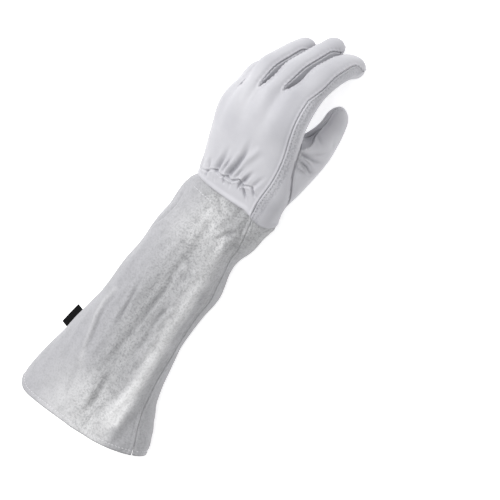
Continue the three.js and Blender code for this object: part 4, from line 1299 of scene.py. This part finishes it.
cuffPatches = {"cuffBack": cuffPatch(True), "cuffPalm": cuffPatch(False)}
for cuffName, node in (("cuffBack", "cuff_back"), ("cuffPalm", "cuff_palm")):
    sheetObject(cuffName, [cuffPatches[cuffName]], cuffRelief, suedeMatter, [node])


# Stitches: small capsules that follow a line on a sheet
stitch = {"step": 3.3, "long": 2.3, "half": 0.3, "lift": 0.08, "rings": 7, "around": 6, "endPower": 4,
          "hem": 4.6, "wrist": 11, "wristFrom": -36, "wristTo": -6, "clear": 0.8}


def reliefSurface(patch, relief):
    # a grid's outer face with its relief, and its normals, as sheetObject places them
    outer = patch["outer"]
    normal = unit(np.cross(np.gradient(outer, axis=0), np.gradient(outer, axis=1)))
    inward = (normal * (outer - patch["inner"])).sum() < 0
    normal = -normal if inward else normal
    height, _ = relief(dict(patch["data"]))
    return outer + normal * height[..., None], normal


def crossing(values, target, grids):
    # where each column of a grid of values reaches the target, the other grids between the
    # two rows on either side of it
    rising = values[-1, 0] > values[0, 0]
    before = ((values < target) if rising else (values > target)).sum(0)
    upper = np.clip(before, 1, len(values) - 1)
    columns = np.arange(values.shape[1])
    low, high = values[upper - 1, columns], values[upper, columns]
    share = np.clip((target - low) / (high - low), 0, 1)[:, None]
    return [mix(grid[upper - 1, columns], grid[upper, columns], share) for grid in grids]


def tubeFaces(rings, around, points):
    # triangles of a tube whose rings are numbered in turn, closed by the last two points, and
    # turned so that the volume they enclose is positive
    ids = np.arange(rings * around).reshape(rings, around)
    following = np.roll(ids, -1, 1)
    faces = np.concatenate([
        quads(ids[:-1], following[:-1], following[1:], ids[1:]),
        np.stack([ids[0], np.full(around, ids.size), following[0]], -1),
        np.stack([ids[-1], following[-1], np.full(around, ids.size + 1)], -1)])
    a, b, c = np.moveaxis(points[faces], 1, 0)
    return faces[:, ::-1] if (a * np.cross(b, c)).sum() < 0 else faces


def stitchRow(name, lines):
    # capsules at even steps along each line, clear of the floor: the tangent joins two points
    # one stitch apart, and the radius closes at the ends as sqrt(1 - t to the power endPower)
    groups = []
    for points, normals in lines:
        lengths = np.linalg.norm(np.diff(points, axis=0), axis=1)
        run = np.concatenate([[0], np.cumsum(lengths)])
        middles = np.arange(stitch["step"], run[-1] - stitch["step"], stitch["step"])

        def at(values, where):
            # values between the line's points, at distances along it
            return np.stack([np.interp(where, run, values[:, axis]) for axis in range(3)], -1)

        start, end = at(points, middles - stitch["long"] / 2), at(points, middles + stitch["long"] / 2)
        clear = (start[:, 2] > stitch["clear"]) & (end[:, 2] > stitch["clear"])
        start, end, normal = start[clear], end[clear], unit(at(normals, middles)[clear])
        half = (end - start) / 2
        side = unit(np.cross(half, normal))
        t = np.linspace(-1, 1, stitch["rings"])
        size = stitch["half"] * np.sqrt(1 - np.abs(t) ** stitch["endPower"])[None, :, None, None]
        turn = np.linspace(0, 2 * np.pi, stitch["around"], endpoint=False)[:, None]
        ring = normal[:, None, None] * np.sin(turn) + side[:, None, None] * np.cos(turn)
        middle = (start + end) / 2 + normal * stitch["lift"]
        groups.append(middle[:, None, None] + half[:, None, None] * t[None, :, None, None] + ring * size)
    body = np.concatenate(groups)
    count, rings, around = body.shape[:3]
    tubes = body[:, 1:-1].reshape(count, -1, 3)
    points = np.concatenate([tubes, body[:, :1, 0], body[:, -1:, 0]], 1)
    faces = tubeFaces(rings - 2, around, points[0])
    allFaces = (faces + (np.arange(count) * points.shape[1])[:, None, None]).reshape(-1, 3)
    newObject(name, points.reshape(-1, 3), allFaces, threadMatter, [])


hemLines, wristLines = [], []
for cuffName, patch in cuffPatches.items():
    surface, normals = reliefSurface(patch, cuffRelief)
    hemLines.append(crossing(patch["data"]["hem"], stitch["hem"], [surface, normals]))
    if cuffName == "cuffBack":
        points, facing = crossing(patch["data"]["y"], stitch["wrist"], [surface, normals])
        kept = (points[:, 0] > stitch["wristFrom"]) & (points[:, 0] < stitch["wristTo"])
        wristLines.append([points[kept], facing[kept]])
stitchRow("hemStitches", hemLines)
stitchRow("wristStitches", wristLines)


# Woven tab in the cuff's seam
tab = {
    "u": 187, "long": 23.5, "wide": 7.5, "thick": 0.9, "angle": 172, "tuck": 1.6, "bow": 0.5,
    "rings": 25, "around": 32, "sidePower": 0.12, "facePower": 0.5, "closing": 16, "endSize": 0.12,
}


def labelTab():
    # a rounded oblong section carried along the seam: reach times cosine and half the
    # thickness times sine, each to its power, thinner at both ends and bowed up by a sine
    angle = np.array([tab["angle"] * degree])
    start, end = [cuffPoints(angle, np.array([tab["u"] + half * tab["long"] / 2]), 0.0)[0]
                  for half in (-1, 1)]
    edge = end - start
    outward = unit(np.array([edge[1], -edge[0], 0]))
    turn = np.linspace(0, 2 * np.pi, tab["around"] + 1)[:-1]
    reach = (tab["wide"] + tab["tuck"]) / 2
    across = (reach * signedPower(np.cos(turn), tab["sidePower"]) + reach - tab["tuck"])[:, None]
    up = (tab["thick"] / 2 * signedPower(np.sin(turn), tab["facePower"]))[:, None]
    share = np.linspace(0, 1, tab["rings"])[:, None, None]
    close = np.sqrt(np.clip(1 - (2 * share - 1) ** tab["closing"], tab["endSize"], 1))
    bow = tab["bow"] * np.sin(share * np.pi) * across / tab["wide"]
    rings = start + edge * share + outward * across + np.array([0, 0, 1.0]) * (up * close + bow)
    points = np.concatenate([rings.reshape(-1, 3), [rings[0].mean(0), rings[-1].mean(0)]])
    faces = tubeFaces(tab["rings"], tab["around"], points)
    newObject("wovenTab", points, faces, tabMatter, ["label_tab"])


labelTab()
print("cuff and tab made")


# Floor, light and camera
view = {
    "lens": 100, "sensor": 36, "centre": [2, 238, 37], "pixel": [233.4, 199.9], "distance": 1263,
    "side": 19.3, "ahead": 9.9, "axis": 56.3, "image": 500, "clipEnd": 20,
}


def camera():
    # from above, turned so that the hand's +Y lies at the axis' angle in the picture; a further
    # turn brings the centre point to its pixel
    focal = view["lens"] / view["sensor"] * view["image"]
    away = Vector((np.tan(view["side"] * degree), np.tan(view["ahead"] * degree), 1)).normalized()
    forward = -away
    place = Vector(view["centre"]) + away * view["distance"]
    north = Vector((0, 1, 0))
    north = (north - forward * north.dot(forward)).normalized()
    east = forward.cross(north)
    axis = view["axis"] * degree
    right = north * np.cos(axis) + east * np.sin(axis)
    up = north * np.sin(axis) - east * np.cos(axis)
    centre = view["image"] / 2
    forward = (forward * focal + right * (centre - view["pixel"][0])
               - up * (centre - view["pixel"][1])).normalized()
    right = (right - forward * right.dot(forward)).normalized()
    up = right.cross(forward)
    turn = Matrix((right, up, -forward)).transposed().to_4x4()
    data = bpy.data.cameras.new("camera")
    data.lens = view["lens"]
    data.sensor_width = view["sensor"]
    data.clip_end = view["clipEnd"]
    made = placed("camera", data)
    made.matrix_world = Matrix.Translation((place + Vector(frameShift)) * millimetre) @ turn
    bpy.context.scene.camera = made


studio = {
    "lights": [
        {"name": "key light", "place": (-1.25, 0.6, 2.0), "size": 1.2, "power": 46},
        {"name": "top light", "place": (0.1, 0.2, 2.6), "size": 2.0, "power": 18},
    ],
    "world": 0.5, "floor": {"colour": (0.93, 0.93, 0.93, 1), "roughness": 0.9, "glow": 0.58},
    "floorHalf": 4,
}


def areaLight(name, place, size, power):
    # a round light that looks at the origin
    data = bpy.data.lights.new(name, "AREA")
    data.shape = "DISK"
    data.size = size
    data.energy = power
    made = placed(name, data)
    made.location = place
    made.rotation_euler = (-Vector(place)).to_track_quat("-Z", "Y").to_euler()


camera()
for lamp in studio["lights"]:
    areaLight(**lamp)
world = bpy.data.worlds.new("studio")
bpy.context.scene.world = world
world.use_nodes = True
world.node_tree.nodes["Background"].inputs["Color"].default_value = (1, 1, 1, 1)
world.node_tree.nodes["Background"].inputs["Strength"].default_value = studio["world"]
bpy.context.scene.view_settings.view_transform = "Standard"

half = studio["floorHalf"]
floorMesh = bpy.data.meshes.new("floor")
floorMesh.from_pydata([(-half, -half, 0), (half, -half, 0), (half, half, 0), (-half, half, 0)], [],
                      [(0, 1, 2, 3)])
floorMesh.materials.append(plainMatter("floor", **studio["floor"]))
floor = placed("floor", floorMesh)
print("floor, light and camera made")
